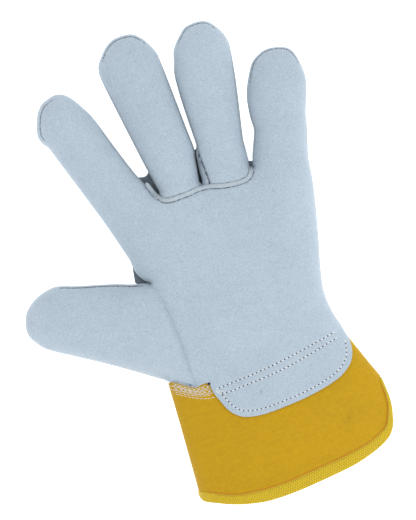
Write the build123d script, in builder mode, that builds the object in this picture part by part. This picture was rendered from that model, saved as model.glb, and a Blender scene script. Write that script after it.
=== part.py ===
from build123d import *
import math
import os

# Left-hand split-leather work glove with a stiff rubberised safety cuff.
# Millimetres. The glove lies on its back: +Z out of the palm, +Y from the cuff
# to the fingertips, thumb towards -X. The origin is under the middle of the
# glove, on the surface it lies on.

# ---------------------------------------------------------------- dimensions
draft_x, draft_y = -13.2, 23.8      # drafting origin of the pattern, in the frame

leather = 1.3          # split cowhide thickness
cloth = 0.8            # cotton lining thickness
fabric = 1.0           # rubberised cuff fabric thickness
joint_gap = 0.4        # free space between the hand and each finger stall
side_gap = 1.2         # free space between neighbouring finger stalls
z_mid = 15.0           # height of the seam between front and back leather
lift = 1.0             # back leather stands this far off the surface
cuff_drop = 1.7        # the hem lies this much lower, so that its tape rests too
side_band = 4.0        # half height of the side strips between fingers

strap_thick = 1.3      # leather knuckle strap
welt_thick = 0.8       # raised height of the leather welts
welt_width = 2.2
thread = 0.35          # raised height of the stitching
tape_width = 6.0       # visible width of the hem tape
tape_thick = 0.9       # hem tape, each side of the cuff

knuckle_y = {"index": 72.0, "middle": 73.0, "ring": 72.0, "little": 66.0}
thumb_x = -38.0        # plane of the thumb seam
thumb_low = -28.6      # the thumb's leather starts above the cuff, so that it swings clear of it
axis_z = 28.0          # the fingers fold about the palm-side surface

# hand and cuff tube: y, left x, right x, half height
hand_rows = [
    (-118.0, -57.5, 68.5, 21.5),
    (-104.0, -57.3, 69.5, 21.2),
    (-90.0, -56.6, 69.3, 20.6),
    (-74.0, -55.3, 66.5, 19.6),
    (-60.0, -53.4, 59.6, 18.4),
    (-46.0, -52.0, 55.4, 17.2),
    (-32.0, -51.0, 53.0, 16.0),
    (-18.0, -48.5, 51.6, 15.2),
    (-4.0, -46.0, 55.0, 14.7),
    (12.0, -44.5, 60.0, 14.4),
    (28.0, -44.0, 64.5, 14.0),
    (42.0, -44.8, 69.0, 13.4),
    (54.0, -46.6, 71.8, 12.6),
    (63.0, -47.6, 72.6, 11.6),
]

# finger stalls: base point, direction, rows of
# (distance along, left half width, right half width, half height)
finger_rows = {
    "index": ((-35.4, 68.9), (-0.211, 0.9775), [
        (-16.0, 13.6, 15.5, 11.0), (0.0, 14.6, 17.6, 11.8), (8.0, 15.2, 16.6, 11.8),
        (17.0, 15.5, 15.6, 11.7), (34.5, 16.2, 14.6, 11.4), (51.8, 17.0, 13.9, 11.0),
        (60.0, 18.1, 13.3, 10.6), (66.0, 18.4, 12.0, 9.8), (71.0, 15.8, 10.2, 8.6),
        (75.5, 11.6, 7.8, 6.8), (79.0, 5.6, 4.6, 3.6)]),
    "middle": ((-2.87, 68.1), (0.0545, 0.9985), [
        (-16.0, 11.6, 12.0, 11.0), (0.0, 12.4, 12.8, 11.8), (8.0, 12.8, 13.4, 11.8),
        (17.0, 13.8, 14.6, 11.8), (34.5, 16.5, 14.5, 11.6), (51.8, 19.0, 13.8, 11.2),
        (69.0, 21.5, 13.2, 10.8), (80.5, 22.4, 12.8, 9.8), (86.3, 20.0, 10.2, 8.4),
        (91.5, 15.4, 6.8, 6.2), (94.9, 8.6, 1.0, 3.4)]),
    "ring": ((24.5, 62.06), (0.21, 0.9777), [
        (-16.0, 12.0, 12.6, 10.8), (0.0, 12.9, 13.4, 11.6), (10.0, 12.6, 13.4, 11.8),
        (18.0, 13.6, 12.9, 11.7), (28.8, 15.4, 12.8, 11.5), (46.0, 18.0, 13.6, 11.2),
        (63.3, 19.9, 14.2, 10.8), (74.8, 19.0, 14.3, 10.0), (84.0, 16.2, 12.4, 8.6),
        (90.5, 12.2, 8.6, 6.6), (94.4, 6.8, 3.4, 3.6)]),
    "little": ((56.7, 52.8), (0.309, 0.951), [
        (-16.0, 15.0, 13.6, 10.4), (0.0, 16.6, 14.4, 11.2), (8.0, 16.8, 13.8, 11.4),
        (17.3, 17.6, 13.2, 11.4), (28.8, 16.6, 13.4, 11.2), (40.3, 18.6, 14.0, 10.8),
        (51.8, 19.4, 14.8, 10.2), (60.0, 18.2, 14.4, 9.2), (66.5, 15.8, 12.2, 7.6),
        (71.0, 12.0, 9.2, 5.8), (74.6, 6.2, 4.2, 3.2)]),
}
thumb_rows = ((-38.7, -3.6), (-0.8957, 0.4447), [
    (-34.0, 20.0, 18.0, 8.6), (-22.0, 25.5, 22.5, 11.6), (-10.0, 28.2, 25.2, 13.2),
    (2.0, 28.2, 26.0, 13.4), (12.0, 26.4, 26.0, 13.2), (23.0, 24.1, 25.9, 12.9),
    (34.5, 22.0, 24.4, 12.5), (46.0, 20.0, 22.9, 12.1), (57.5, 18.1, 21.6, 11.6),
    (67.0, 16.6, 20.2, 10.8), (73.5, 14.6, 17.4, 9.4), (78.5, 11.4, 12.6, 7.4),
    (82.4, 5.6, 5.6, 3.8)])

# cuff, flattened: outer edge of the hem tape, anticlockwise from the fold
cuff_outline = [
    (-70.0, -20.0), (-70.0, -97.0), (-57.0, -98.4), (-51.5, -105.0), (-30.0, -112.9), (-6.0, -116.9),
    (12.0, -116.7), (40.0, -112.8), (55.0, -106.4), (63.0, -96.0), (65.1, -84.0), (63.6, -74.0),
    (60.4, -62.0), (75.0, -61.0), (75.0, -20.0)]
slit_top_y = -66.0      # the little-finger side of the cuff is open below this

# leather patch that continues from the palm over the cuff
patch_outline = [
    (75.0, -22.0), (75.0, -36.0), (55.2, -45.0), (54.6, -50.5), (51.0, -58.6), (44.0, -63.5),
    (28.3, -66.9), (9.6, -68.2), (-5.0, -67.8), (-15.0, -66.0), (-22.5, -61.2), (-26.4, -52.0),
    (-28.4, -43.3), (-29.5, -39.5), (-36.5, -38.6), (-42.4, -34.2), (-50.0, -29.9), (-60.0, -24.2), (-60.0, -22.0)]

stitch_wide = 0.9
row_1 = [(-22.6, -43.7), (-3.6, -44.2), (21.8, -42.6), (49.4, -39.4)]
row_2 = [(-21.8, -48.9), (2.2, -48.7), (25.1, -46.7), (49.6, -42.9)]
row_edge = [(-25.0, -45.1), (-22.8, -52.5), (-18.6, -58.8), (-13.2, -62.3), (0.0, -64.8), (18.0, -65.2),
            (37.9, -62.3), (47.0, -58.4), (51.0, -54.0), (52.2, -48.0)]

welt_path = [(-22.6, 80.0), (-19.2, 72.5), (-16.2, 67.9), (-14.0, 65.7), (-8.4, 65.1), (-1.2, 63.8),
             (5.8, 64.0), (13.8, 63.4), (21.0, 60.9), (30.6, 58.3), (37.6, 58.9), (40.2, 62.6)]
strap_rows = (30.0, 56.0)           # the knuckle strap covers this stretch of y
elastic_rows = (-26.0, -18.0)       # elastic sewn inside the back of the wrist

os.makedirs("parts", exist_ok=True)


# ------------------------------------------------------------------- helpers
def at(x, y):
    """A point of the pattern in the frame of the glove."""
    return (x - draft_x, y - draft_y)


def hand_tube(grow, rows=None):
    """The hand and cuff as one lofted tube of oval rows, grown by an amount."""
    rows = rows or hand_rows
    with BuildPart() as tube:
        for i, (y, left, right, half) in enumerate(rows):
            if i == len(rows) - 1:
                y = y + min(grow, 0.0)
            cx, cy = at(0.5 * (left + right), y)
            t = min(max((-32.0 - y) / 50.0, 0.0), 1.0)
            mid = lift - cuff_drop * t + half
            with BuildSketch(Plane(origin=(cx, cy, mid), x_dir=(1, 0, 0), z_dir=(0, 1, 0))):
                Ellipse(0.5 * (right - left) + grow, half + grow)
        loft()
    return tube.part


def stall(base, along, rows, grow, end_grow=0.0):
    """One finger stall as a lofted tube of oval rows, grown by an amount."""
    bx, by = at(*base)
    dx, dy = along
    with BuildPart() as tube:
        last = len(rows) - 1
        for i, (s, left, right, half) in enumerate(rows):
            w = 0.5 * (left + right)
            off = 0.5 * (right - left)
            if i == last:
                s = s + end_grow
            ox = bx + dx * s + dy * off
            oy = by + dy * s - dx * off
            with BuildSketch(Plane(origin=(ox, oy, z_mid - 0.5), x_dir=(dy, -dx, 0), z_dir=(dx, dy, 0))):
                Ellipse(max(w + grow, 0.8), max(half + grow, 0.8))
        loft()
    return tube.part


def plan_prism(points, low=-5.0, high=80.0):
    """A closed outline of the pattern, standing straight up."""
    with BuildPart() as prism:
        with BuildSketch(Plane.XY.offset(low)):
            with BuildLine():
                Polyline(*[at(*p) for p in points], close=True)
            make_face()
        extrude(amount=high - low)
    return prism.part


def slab(x0, x1, y0, y1, z0, z1):
    """A plain block between limits given in the pattern's x and y."""
    a, b = at(x0, y0), at(x1, y1)
    with BuildPart() as block:
        with Locations(((a[0] + b[0]) / 2, (a[1] + b[1]) / 2, (z0 + z1) / 2)):
            Box(b[0] - a[0], b[1] - a[1], z1 - z0)
    return block.part


def ribbon(points, width, low=-5.0, high=80.0):
    """A strip of constant width along a path, standing straight up."""
    left, right = [], []
    n = len(points)
    for i, (x, y) in enumerate(points):
        x0, y0 = points[max(i - 1, 0)]
        x1, y1 = points[min(i + 1, n - 1)]
        length = math.hypot(x1 - x0, y1 - y0)
        nx, ny = -(y1 - y0) / length, (x1 - x0) / length
        left.append((x + nx * width / 2, y + ny * width / 2))
        right.append((x - nx * width / 2, y - ny * width / 2))
    return plan_prism(left + right[::-1], low, high)


# ------------------------------------------------------- shared solid regions
hand_outer = hand_tube(0.0)
hand_inner = hand_tube(-leather)
fingers_outer, fingers_inner = {}, {}
for name, (base, along, rows) in finger_rows.items():
    fingers_outer[name] = stall(base, along, rows, 0.0)
    fingers_inner[name] = stall(base, along, rows, -leather, -leather)
thumb_outer = stall(*thumb_rows[:2], thumb_rows[2], 0.0)
thumb_inner = stall(*thumb_rows[:2], thumb_rows[2], -leather, -leather)

above = slab(-200, 200, -200, 250, z_mid, 90)
below = slab(-200, 200, -200, 250, -5, z_mid)
over_ground = slab(-200, 200, -200, 250, 0.0, 90)

# plan region that belongs to the thumb, and the same with the joint gap added
thumb_region = plan_prism([(thumb_x - joint_gap, thumb_low), (thumb_x - joint_gap, 60.0),
                           (-140.0, 60.0), (-140.0, -5.0), (-60.0, -24.3), (-52.0, thumb_low)])
thumb_clear = plan_prism([(thumb_x, thumb_low - joint_gap), (thumb_x, 27.5), (-44.6, 31.8), (-60.0, 38.0), (-140.0, 70.0),
                          (-140.0, -6.0), (-60.0, -25.0), (-52.0, thumb_low - joint_gap)])

# everything past each knuckle line
past = {}
spans = {"index": (-140.0, -16.4), "middle": (-16.4, 12.8), "ring": (12.8, 41.0), "little": (41.0, 140.0)}
for name, y in knuckle_y.items():
    x0, x1 = spans[name]
    past[name] = slab(x0, x1, y, 220, -5, 90)


def hand_shell(outer_list, inner_list, region):
    """A wall between two groups of lofts, inside a plan region."""
    with BuildPart() as shell:
        for solid in outer_list:
            add(solid)
        for solid in inner_list:
            add(solid, mode=Mode.SUBTRACT)
        add(region, mode=Mode.INTERSECT)
        for solid in past.values():
            add(solid, mode=Mode.SUBTRACT)
        add(thumb_clear, mode=Mode.SUBTRACT)
    return shell.part


outer_all = [hand_outer, thumb_outer] + list(fingers_outer.values())
inner_all = [hand_inner, thumb_inner] + list(fingers_inner.values())

wrist_y = -33.0
hand_region = slab(-90, 90, wrist_y, 90, -5, 90)
front_region = plan_prism([(90.0, 90.0), (-90.0, 90.0), (-90.0, -22.0)] + patch_outline[::-1][1:] + [(90.0, -22.0)])

leather_wall = hand_shell(outer_all, inner_all, slab(-90, 90, -72, 90, -5, 90))

# crotch pieces between neighbouring fingers
with BuildPart() as crotch_blocks:
    for x, y in ((-16.3, 66.0), (11.6, 65.5), (40.6, 60.5)):
        px, py = at(x, y)
        with BuildSketch(Plane.XY.offset(z_mid - side_band)):
            with Locations((px, py + 4.0)):
                Rectangle(9.0, 18.0)
    extrude(amount=2 * side_band)

# ------------------------------------------------------------ hand: leather
with BuildPart() as palm_panel:
    add(leather_wall)
    add(above, mode=Mode.INTERSECT)
    add(front_region, mode=Mode.INTERSECT)
    add(crotch_blocks.part, mode=Mode.SUBTRACT)
palm_panel.part.label = "palm_panel"
export_step(palm_panel.part, "parts/palm_panel.step")

with BuildPart() as back_panel:
    add(leather_wall)
    add(below, mode=Mode.INTERSECT)
    add(hand_region, mode=Mode.INTERSECT)
    add(crotch_blocks.part, mode=Mode.SUBTRACT)
back_panel.part.label = "back_panel"
export_step(back_panel.part, "parts/back_panel.step")

with BuildPart() as crotch_gussets:
    add(leather_wall)
    add(crotch_blocks.part, mode=Mode.INTERSECT)
crotch_gussets.part.label = "crotch_gussets"
export_step(crotch_gussets.part, "parts/crotch_gussets.step")


def on_lofts(region, grown, plain):
    """What lies inside a region between the plain lofts and their grown copies."""
    with BuildPart() as band:
        for solid in grown:
            common = region & solid
            if common is not None and common.volume > 0.01:
                add(common)
        for solid in plain:
            add(solid, mode=Mode.SUBTRACT)
    return band.part


clear = 0.03            # the stitching lies this much off the leather
tube_thread = hand_tube(thread)
tube_clear = hand_tube(clear)

with BuildPart() as palm_seam_welt:
    add(on_lofts(ribbon(welt_path, welt_width),
                 [hand_tube(welt_thick)] + [stall(*finger_rows[n], welt_thick) for n in ("index", "middle", "ring", "little")],
                 outer_all))
    add(above, mode=Mode.INTERSECT)
    for solid in past.values():
        add(solid, mode=Mode.SUBTRACT)
    add(crotch_blocks.part, mode=Mode.SUBTRACT)
palm_seam_welt.part.label = "palm_seam_welt"
export_step(palm_seam_welt.part, "parts/palm_seam_welt.step")

with BuildPart() as thumb_seam_welt:
    add(on_lofts(slab(thumb_x + 0.2, thumb_x + welt_width, -36.0, 24.5, z_mid + 4.0, 60.0),
                 [hand_tube(welt_thick), stall(*thumb_rows, welt_thick)], [hand_outer, thumb_outer]))
thumb_seam_welt.part.label = "thumb_seam_welt"
export_step(thumb_seam_welt.part, "parts/thumb_seam_welt.step")

with BuildPart() as knuckle_strap:
    add(hand_tube(strap_thick))
    add(slab(-90, 90, strap_rows[0], strap_rows[1], 0.0, 9.0), mode=Mode.INTERSECT)
    for solid in outer_all:
        add(solid, mode=Mode.SUBTRACT)
    add(thumb_clear, mode=Mode.SUBTRACT)
knuckle_strap.part.label = "knuckle_strap"
export_step(knuckle_strap.part, "parts/knuckle_strap.step")

strap_rows_xy = [[(-34.0, strap_rows[0] + 2.2), (10.0, strap_rows[0] + 2.2), (56.0, strap_rows[0] + 2.2)],
                 [(-36.0, strap_rows[1] - 2.2), (10.0, strap_rows[1] - 2.2), (60.0, strap_rows[1] - 2.2)]]
with BuildPart() as strap_stitching:
    for line in strap_rows_xy:
        add(hand_tube(strap_thick + thread) & ribbon(line, stitch_wide, 0.0, 8.0))
    add(hand_tube(strap_thick + clear), mode=Mode.SUBTRACT)
    for solid in outer_all:
        add(solid, mode=Mode.SUBTRACT)
strap_stitching.part.label = "strap_stitching"
export_step(strap_stitching.part, "parts/strap_stitching.step")

with BuildPart() as palm_lining:
    add(hand_tube(-leather - 0.05))
    add(slab(-90, 90, -27.0, 57.0, z_mid, 60.0), mode=Mode.INTERSECT)
    add(hand_tube(-leather - 0.05 - cloth), mode=Mode.SUBTRACT)
    add(thumb_clear, mode=Mode.SUBTRACT)
    for solid in [thumb_inner] + list(fingers_inner.values()):
        add(solid, mode=Mode.SUBTRACT)
palm_lining.part.label = "palm_lining"
export_step(palm_lining.part, "parts/palm_lining.step")

with BuildPart() as wrist_elastic:
    add(hand_tube(-leather - 0.05))
    add(slab(-30, 42, elastic_rows[0], elastic_rows[1], -5.0, 9.0), mode=Mode.INTERSECT)
    add(hand_tube(-leather - 0.05 - cloth), mode=Mode.SUBTRACT)
wrist_elastic.part.label = "wrist_elastic"
export_step(wrist_elastic.part, "parts/wrist_elastic.step")

# ------------------------------------------------------------------- cuff
tape_prism = plan_prism(cuff_outline)
with BuildPart() as fabric_prism:
    with BuildSketch(Plane.XY.offset(-5.0)):
        with BuildLine():
            Polyline(*[at(*p) for p in cuff_outline], close=True)
        make_face()
        offset(amount=-tape_thick, kind=Kind.INTERSECTION)
    extrude(amount=95.0)
with BuildPart() as inside_prism:
    with BuildSketch(Plane.XY.offset(-5.0)):
        with BuildLine():
            Polyline(*[at(*p) for p in cuff_outline], close=True)
        make_face()
        offset(amount=-tape_width, kind=Kind.INTERSECTION)
    extrude(amount=95.0)

in_1 = -leather - 0.05               # outer face of the cuff fabric
in_2 = in_1 - fabric                 # its inner face
in_3 = in_2 - cloth                  # inner face of the cuff lining

with BuildPart() as cuff_shell:
    add(hand_tube(in_1))
    add(slab(-90, 90, -130, thumb_low - 2 * joint_gap, -5, 90), mode=Mode.INTERSECT)
    add(hand_tube(in_2), mode=Mode.SUBTRACT)
    add(fabric_prism.part, mode=Mode.INTERSECT)
    add(thumb_clear, mode=Mode.SUBTRACT)
cuff_shell.part.label = "cuff_shell"
export_step(cuff_shell.part, "parts/cuff_shell.step")

with BuildPart() as cuff_lining:
    add(hand_tube(in_2))
    add(slab(-90, 90, -130, -31.0, -5, 90), mode=Mode.INTERSECT)
    add(hand_tube(in_3), mode=Mode.SUBTRACT)
    add(fabric_prism.part, mode=Mode.INTERSECT)
    add(thumb_clear, mode=Mode.SUBTRACT)
cuff_lining.part.label = "cuff_lining"
export_step(cuff_lining.part, "parts/cuff_lining.step")

with BuildPart() as hem_binding:
    add(hand_tube(in_1 + tape_thick))
    add(tape_prism, mode=Mode.INTERSECT)
    add(slab(-90, 90, -130, slit_top_y, 0.0, 90), mode=Mode.INTERSECT)
    add(hand_tube(in_3 - tape_thick), mode=Mode.SUBTRACT)
    add(inside_prism.part, mode=Mode.SUBTRACT)
    add(cuff_shell.part, mode=Mode.SUBTRACT)
    add(cuff_lining.part, mode=Mode.SUBTRACT)
hem_binding.part.label = "hem_binding"
export_step(hem_binding.part, "parts/hem_binding.step")

tape_row = [(-50.0, -99.0), (-29.0, -108.0), (-5.6, -111.8), (11.5, -111.6), (38.2, -108.0), (51.4, -102.4),
            (58.0, -93.8), (59.9, -84.0), (58.6, -75.5)]
with BuildPart() as binding_stitching:
    add(hand_tube(in_1 + tape_thick + thread) & ribbon(tape_row, stitch_wide, 22.0, 80.0))
    add(hand_tube(in_1 + tape_thick + clear), mode=Mode.SUBTRACT)
binding_stitching.part.label = "binding_stitching"
export_step(binding_stitching.part, "parts/binding_stitching.step")

with BuildPart() as patch_row_stitching:
    for line in (row_1, row_2):
        add(tube_thread & ribbon(line, stitch_wide, 20.0, 80.0))
    add(tube_clear, mode=Mode.SUBTRACT)
patch_row_stitching.part.label = "patch_row_stitching"
export_step(patch_row_stitching.part, "parts/patch_row_stitching.step")

with BuildPart() as patch_edge_stitching:
    add(tube_thread & ribbon(row_edge, stitch_wide, 18.0, 80.0))
    add(tube_clear, mode=Mode.SUBTRACT)
patch_edge_stitching.part.label = "patch_edge_stitching"
export_step(patch_edge_stitching.part, "parts/patch_edge_stitching.step")

overlock_path = [(-50.6, -32.8), (-43.0, -37.6), (-35.0, -41.8), (-29.0, -43.4)]
with BuildPart() as cuff_overlock:
    add(hand_tube(in_1 + 0.45) & ribbon(overlock_path, 3.2, z_mid, 60.0))
    add(hand_tube(in_1), mode=Mode.SUBTRACT)
    add(front_region, mode=Mode.SUBTRACT)
    add(thumb_clear, mode=Mode.SUBTRACT)
cuff_overlock.part.label = "cuff_overlock"
export_step(cuff_overlock.part, "parts/cuff_overlock.step")

cuff_rows_xy = [[(-49.6, -36.6), (-42.4, -41.0), (-35.2, -44.8), (-28.8, -46.4)],
                [(-49.2, -38.6), (-42.0, -43.0), (-34.8, -46.8), (-28.0, -48.6)]]
with BuildPart() as cuff_row_stitching:
    for line in cuff_rows_xy:
        add(hand_tube(in_1 + thread) & ribbon(line, stitch_wide, z_mid, 60.0))
    add(hand_tube(in_1 + clear), mode=Mode.SUBTRACT)
    add(front_region, mode=Mode.SUBTRACT)
cuff_row_stitching.part.label = "cuff_row_stitching"
export_step(cuff_row_stitching.part, "parts/cuff_row_stitching.step")


# ----------------------------------------------------------------- fingers
def stall_wall(name):
    """The whole wall of one finger stall, past its knuckle line."""
    y = knuckle_y[name]
    with BuildPart() as wall:
        add(fingers_outer[name])
        add(fingers_inner[name], mode=Mode.SUBTRACT)
        add(slab(-140, 140, y + joint_gap, 220, -5, 90), mode=Mode.INTERSECT)
    return wall.part


def side_region(name, side):
    """The band on one side of a stall, up to just short of its tip."""
    base, (dx, dy), rows = finger_rows[name]
    reach = rows[-1][0] - 15.0
    near, far = (5.0, 40.0) if side == "right" else (-5.0, -40.0)
    corners = []
    for s, off in ((-12.0, near), (reach, near), (reach, far), (-12.0, far)):
        corners.append((base[0] + dx * s + dy * off, base[1] + dy * s - dx * off))
    return plan_prism(corners, z_mid - side_band, z_mid + side_band)


index_wall = stall_wall("index")
middle_wall = stall_wall("middle")
ring_wall = stall_wall("ring")
little_wall = stall_wall("little")
index_right = side_region("index", "right")
middle_left = side_region("middle", "left")
middle_right = side_region("middle", "right")
ring_left = side_region("ring", "left")
ring_right = side_region("ring", "right")
little_left = side_region("little", "left")

with BuildPart() as index_front:
    add(index_wall)
    add(above, mode=Mode.INTERSECT)
    add(index_right, mode=Mode.SUBTRACT)
index_front.part.label = "index_front"
export_step(index_front.part, "parts/index_front.step")

with BuildPart() as index_back:
    add(index_wall)
    add(below, mode=Mode.INTERSECT)
    add(index_right, mode=Mode.SUBTRACT)
index_back.part.label = "index_back"
export_step(index_back.part, "parts/index_back.step")

with BuildPart() as index_fourchette:
    add(index_wall)
    add(index_right, mode=Mode.INTERSECT)
index_fourchette.part.label = "index_fourchette"
export_step(index_fourchette.part, "parts/index_fourchette.step")

with BuildPart() as middle_front:
    add(middle_wall)
    add(above, mode=Mode.INTERSECT)
    add(middle_left, mode=Mode.SUBTRACT)
    add(middle_right, mode=Mode.SUBTRACT)
middle_front.part.label = "middle_front"
export_step(middle_front.part, "parts/middle_front.step")

with BuildPart() as middle_back:
    add(middle_wall)
    add(below, mode=Mode.INTERSECT)
    add(middle_left, mode=Mode.SUBTRACT)
    add(middle_right, mode=Mode.SUBTRACT)
middle_back.part.label = "middle_back"
export_step(middle_back.part, "parts/middle_back.step")

with BuildPart() as middle_fourchette_index_side:
    add(middle_wall)
    add(middle_left, mode=Mode.INTERSECT)
middle_fourchette_index_side.part.label = "middle_fourchette_index_side"
export_step(middle_fourchette_index_side.part, "parts/middle_fourchette_index_side.step")

with BuildPart() as middle_fourchette_ring_side:
    add(middle_wall)
    add(middle_right, mode=Mode.INTERSECT)
middle_fourchette_ring_side.part.label = "middle_fourchette_ring_side"
export_step(middle_fourchette_ring_side.part, "parts/middle_fourchette_ring_side.step")

with BuildPart() as ring_front:
    add(ring_wall)
    add(above, mode=Mode.INTERSECT)
    add(ring_left, mode=Mode.SUBTRACT)
    add(ring_right, mode=Mode.SUBTRACT)
ring_front.part.label = "ring_front"
export_step(ring_front.part, "parts/ring_front.step")

with BuildPart() as ring_back:
    add(ring_wall)
    add(below, mode=Mode.INTERSECT)
    add(ring_left, mode=Mode.SUBTRACT)
    add(ring_right, mode=Mode.SUBTRACT)
ring_back.part.label = "ring_back"
export_step(ring_back.part, "parts/ring_back.step")

with BuildPart() as ring_fourchette_middle_side:
    add(ring_wall)
    add(ring_left, mode=Mode.INTERSECT)
ring_fourchette_middle_side.part.label = "ring_fourchette_middle_side"
export_step(ring_fourchette_middle_side.part, "parts/ring_fourchette_middle_side.step")

with BuildPart() as ring_fourchette_little_side:
    add(ring_wall)
    add(ring_right, mode=Mode.INTERSECT)
ring_fourchette_little_side.part.label = "ring_fourchette_little_side"
export_step(ring_fourchette_little_side.part, "parts/ring_fourchette_little_side.step")

with BuildPart() as little_front:
    add(little_wall)
    add(above, mode=Mode.INTERSECT)
    add(little_left, mode=Mode.SUBTRACT)
little_front.part.label = "little_front"
export_step(little_front.part, "parts/little_front.step")

with BuildPart() as little_back:
    add(little_wall)
    add(below, mode=Mode.INTERSECT)
    add(little_left, mode=Mode.SUBTRACT)
little_back.part.label = "little_back"
export_step(little_back.part, "parts/little_back.step")

with BuildPart() as little_fourchette:
    add(little_wall)
    add(little_left, mode=Mode.INTERSECT)
little_fourchette.part.label = "little_fourchette"
export_step(little_fourchette.part, "parts/little_fourchette.step")

# ------------------------------------------------------------------- thumb
with BuildPart() as thumb_wall:
    add(thumb_outer)
    add(thumb_inner, mode=Mode.SUBTRACT)
    add(thumb_region, mode=Mode.INTERSECT)

with BuildPart() as thumb_front:
    add(thumb_wall.part)
    add(above, mode=Mode.INTERSECT)
thumb_front.part.label = "thumb_front"
export_step(thumb_front.part, "parts/thumb_front.step")

with BuildPart() as thumb_back:
    add(thumb_wall.part)
    add(below, mode=Mode.INTERSECT)
thumb_back.part.label = "thumb_back"
export_step(thumb_back.part, "parts/thumb_back.step")
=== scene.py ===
import bpy, math, random
import numpy as np
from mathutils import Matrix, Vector
from mathutils.geometry import delaunay_2d_cdt


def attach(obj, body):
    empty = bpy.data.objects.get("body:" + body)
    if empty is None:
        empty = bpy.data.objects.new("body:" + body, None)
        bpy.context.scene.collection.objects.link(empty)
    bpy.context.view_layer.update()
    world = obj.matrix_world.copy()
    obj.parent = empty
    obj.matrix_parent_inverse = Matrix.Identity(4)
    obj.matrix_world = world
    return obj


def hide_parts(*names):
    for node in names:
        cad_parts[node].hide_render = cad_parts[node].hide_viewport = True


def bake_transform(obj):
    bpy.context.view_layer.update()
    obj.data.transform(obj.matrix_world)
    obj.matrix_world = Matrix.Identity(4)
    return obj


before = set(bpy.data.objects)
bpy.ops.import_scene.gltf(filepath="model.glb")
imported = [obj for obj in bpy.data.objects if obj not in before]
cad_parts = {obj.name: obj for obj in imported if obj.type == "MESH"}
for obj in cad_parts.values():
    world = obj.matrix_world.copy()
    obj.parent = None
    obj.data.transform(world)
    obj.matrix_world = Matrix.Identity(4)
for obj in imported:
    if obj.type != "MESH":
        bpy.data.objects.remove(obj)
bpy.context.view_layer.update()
random.seed(7)

# ------------------------------------------------------------------ pattern
# All outlines are in millimetres on the glove's own pattern: x across the hand,
# y from cuff to fingertips. OX, OY take the pattern to the frame.
OX, OY = -13.2, 23.8

HAND_ROWS = np.array([
    (-122.0, -57.6, 68.3, 21.6), (-118.0, -57.5, 68.5, 21.5), (-104.0, -57.3, 69.5, 21.2), (-90.0, -56.6, 69.3, 20.6),
    (-74.0, -55.0, 66.5, 19.6), (-60.0, -53.4, 59.6, 18.4), (-46.0, -52.0, 55.4, 17.2), (-32.0, -51.0, 53.0, 16.0),
    (-18.0, -48.5, 51.6, 15.2), (-4.0, -46.0, 55.0, 14.7), (12.0, -44.5, 60.0, 14.4), (28.0, -44.0, 64.5, 14.0),
    (42.0, -44.8, 69.0, 13.4), (54.0, -46.6, 71.8, 12.6), (63.0, -47.6, 72.6, 11.6), (80.0, -47.6, 72.6, 11.6)])

WRIST_TO_THUMB = [(-50.9, -30.2), (-51.5, -29.2), (-55.9, -25.7), (-77.7, -8.9), (-93.5, 2.4), (-108.6, 13.3), (-111.3, 16.6),
    (-114.0, 21.2), (-115.1, 24.3), (-115.2, 27.3), (-114.6, 30.2), (-113.1, 33.9), (-111.4, 36.9), (-110.1, 38.2),
    (-106.7, 40.7), (-103.9, 42.3), (-101.6, 43.2), (-96.8, 44.4), (-92.1, 44.9), (-89.3, 44.6), (-77.5, 40.1),
    (-64.4, 35.7), (-56.5, 32.8), (-49.2, 29.6), (-45.5, 28.4), (-41.0, 27.0), (-38.8, 26.0)]
CROTCH_TO_INDEX = [(-38.8, 26.0), (-41.5, 29.0), (-44.0, 33.5), (-44.8, 38.2), (-44.9, 42.6), (-45.5, 45.8), (-47.9, 57.0), (-50.4, 68.1), (-62.7, 115.0),
    (-64.1, 120.1), (-66.2, 123.2), (-67.3, 126.7), (-67.3, 128.9), (-66.7, 131.8), (-64.3, 137.6), (-62.3, 141.0),
    (-60.2, 143.4), (-57.9, 145.2), (-54.8, 146.2), (-50.3, 147.1), (-47.9, 146.9), (-45.8, 146.1), (-43.7, 144.7),
    (-41.9, 142.7), (-40.3, 140.4), (-38.3, 136.8), (-35.6, 131.3), (-34.0, 127.1), (-27.3, 101.3), (-23.1, 86.7),
    (-21.8, 83.4), (-20.2, 79.4), (-18.6, 75.4), (-17.0, 72.4), (-15.2, 70.8)]
MIDDLE = [(-15.2, 70.8), (-14.4, 72.8), (-14.7, 75.8), (-15.2, 79.6), (-15.7, 84.0), (-16.3, 89.0), (-21.1, 144.1), (-21.1, 148.1), (-20.7, 151.0),
    (-19.3, 154.1), (-17.5, 156.2), (-12.2, 161.3), (-8.6, 163.4), (-6.7, 164.0), (-5.0, 164.3), (-1.1, 164.3),
    (3.2, 163.6), (6.0, 162.3), (8.3, 160.1), (10.3, 157.4), (12.4, 153.0), (13.8, 149.2), (14.2, 146.0), (13.6, 98.3),
    (13.5, 89.6), (13.1, 86.8), (12.2, 84.0), (11.5, 80.9), (10.8, 77.5), (10.0, 74.3), (9.4, 71.2), (9.3, 69.4), (10.0, 68.0)]
RING = [(10.0, 68.0), (10.8, 69.4), (11.1, 71.4), (11.4, 74.3), (11.9, 77.5), (12.5, 80.9), (13.1, 84.4), (14.2, 87.4), (15.4, 89.4), (15.7, 92.0), (16.0, 97.7), (16.6, 108.8), (17.3, 118.4), (18.5, 129.1),
    (19.4, 133.5), (21.7, 139.4), (22.4, 142.3), (23.2, 144.4), (24.3, 146.2), (27.3, 149.5), (30.5, 152.4), (34.2, 155.1),
    (36.2, 155.6), (39.2, 155.8), (41.4, 155.7), (44.1, 155.3), (46.3, 154.5), (48.0, 153.5), (49.5, 152.0), (51.4, 149.2),
    (53.9, 144.1), (54.7, 140.5), (54.9, 137.9), (53.8, 131.3), (50.7, 117.2), (42.9, 88.1), (41.5, 82.6), (40.9, 77.7), (40.2, 72.4),
    (39.8, 69.6), (39.4, 67.4), (40.0, 65.9)]
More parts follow.
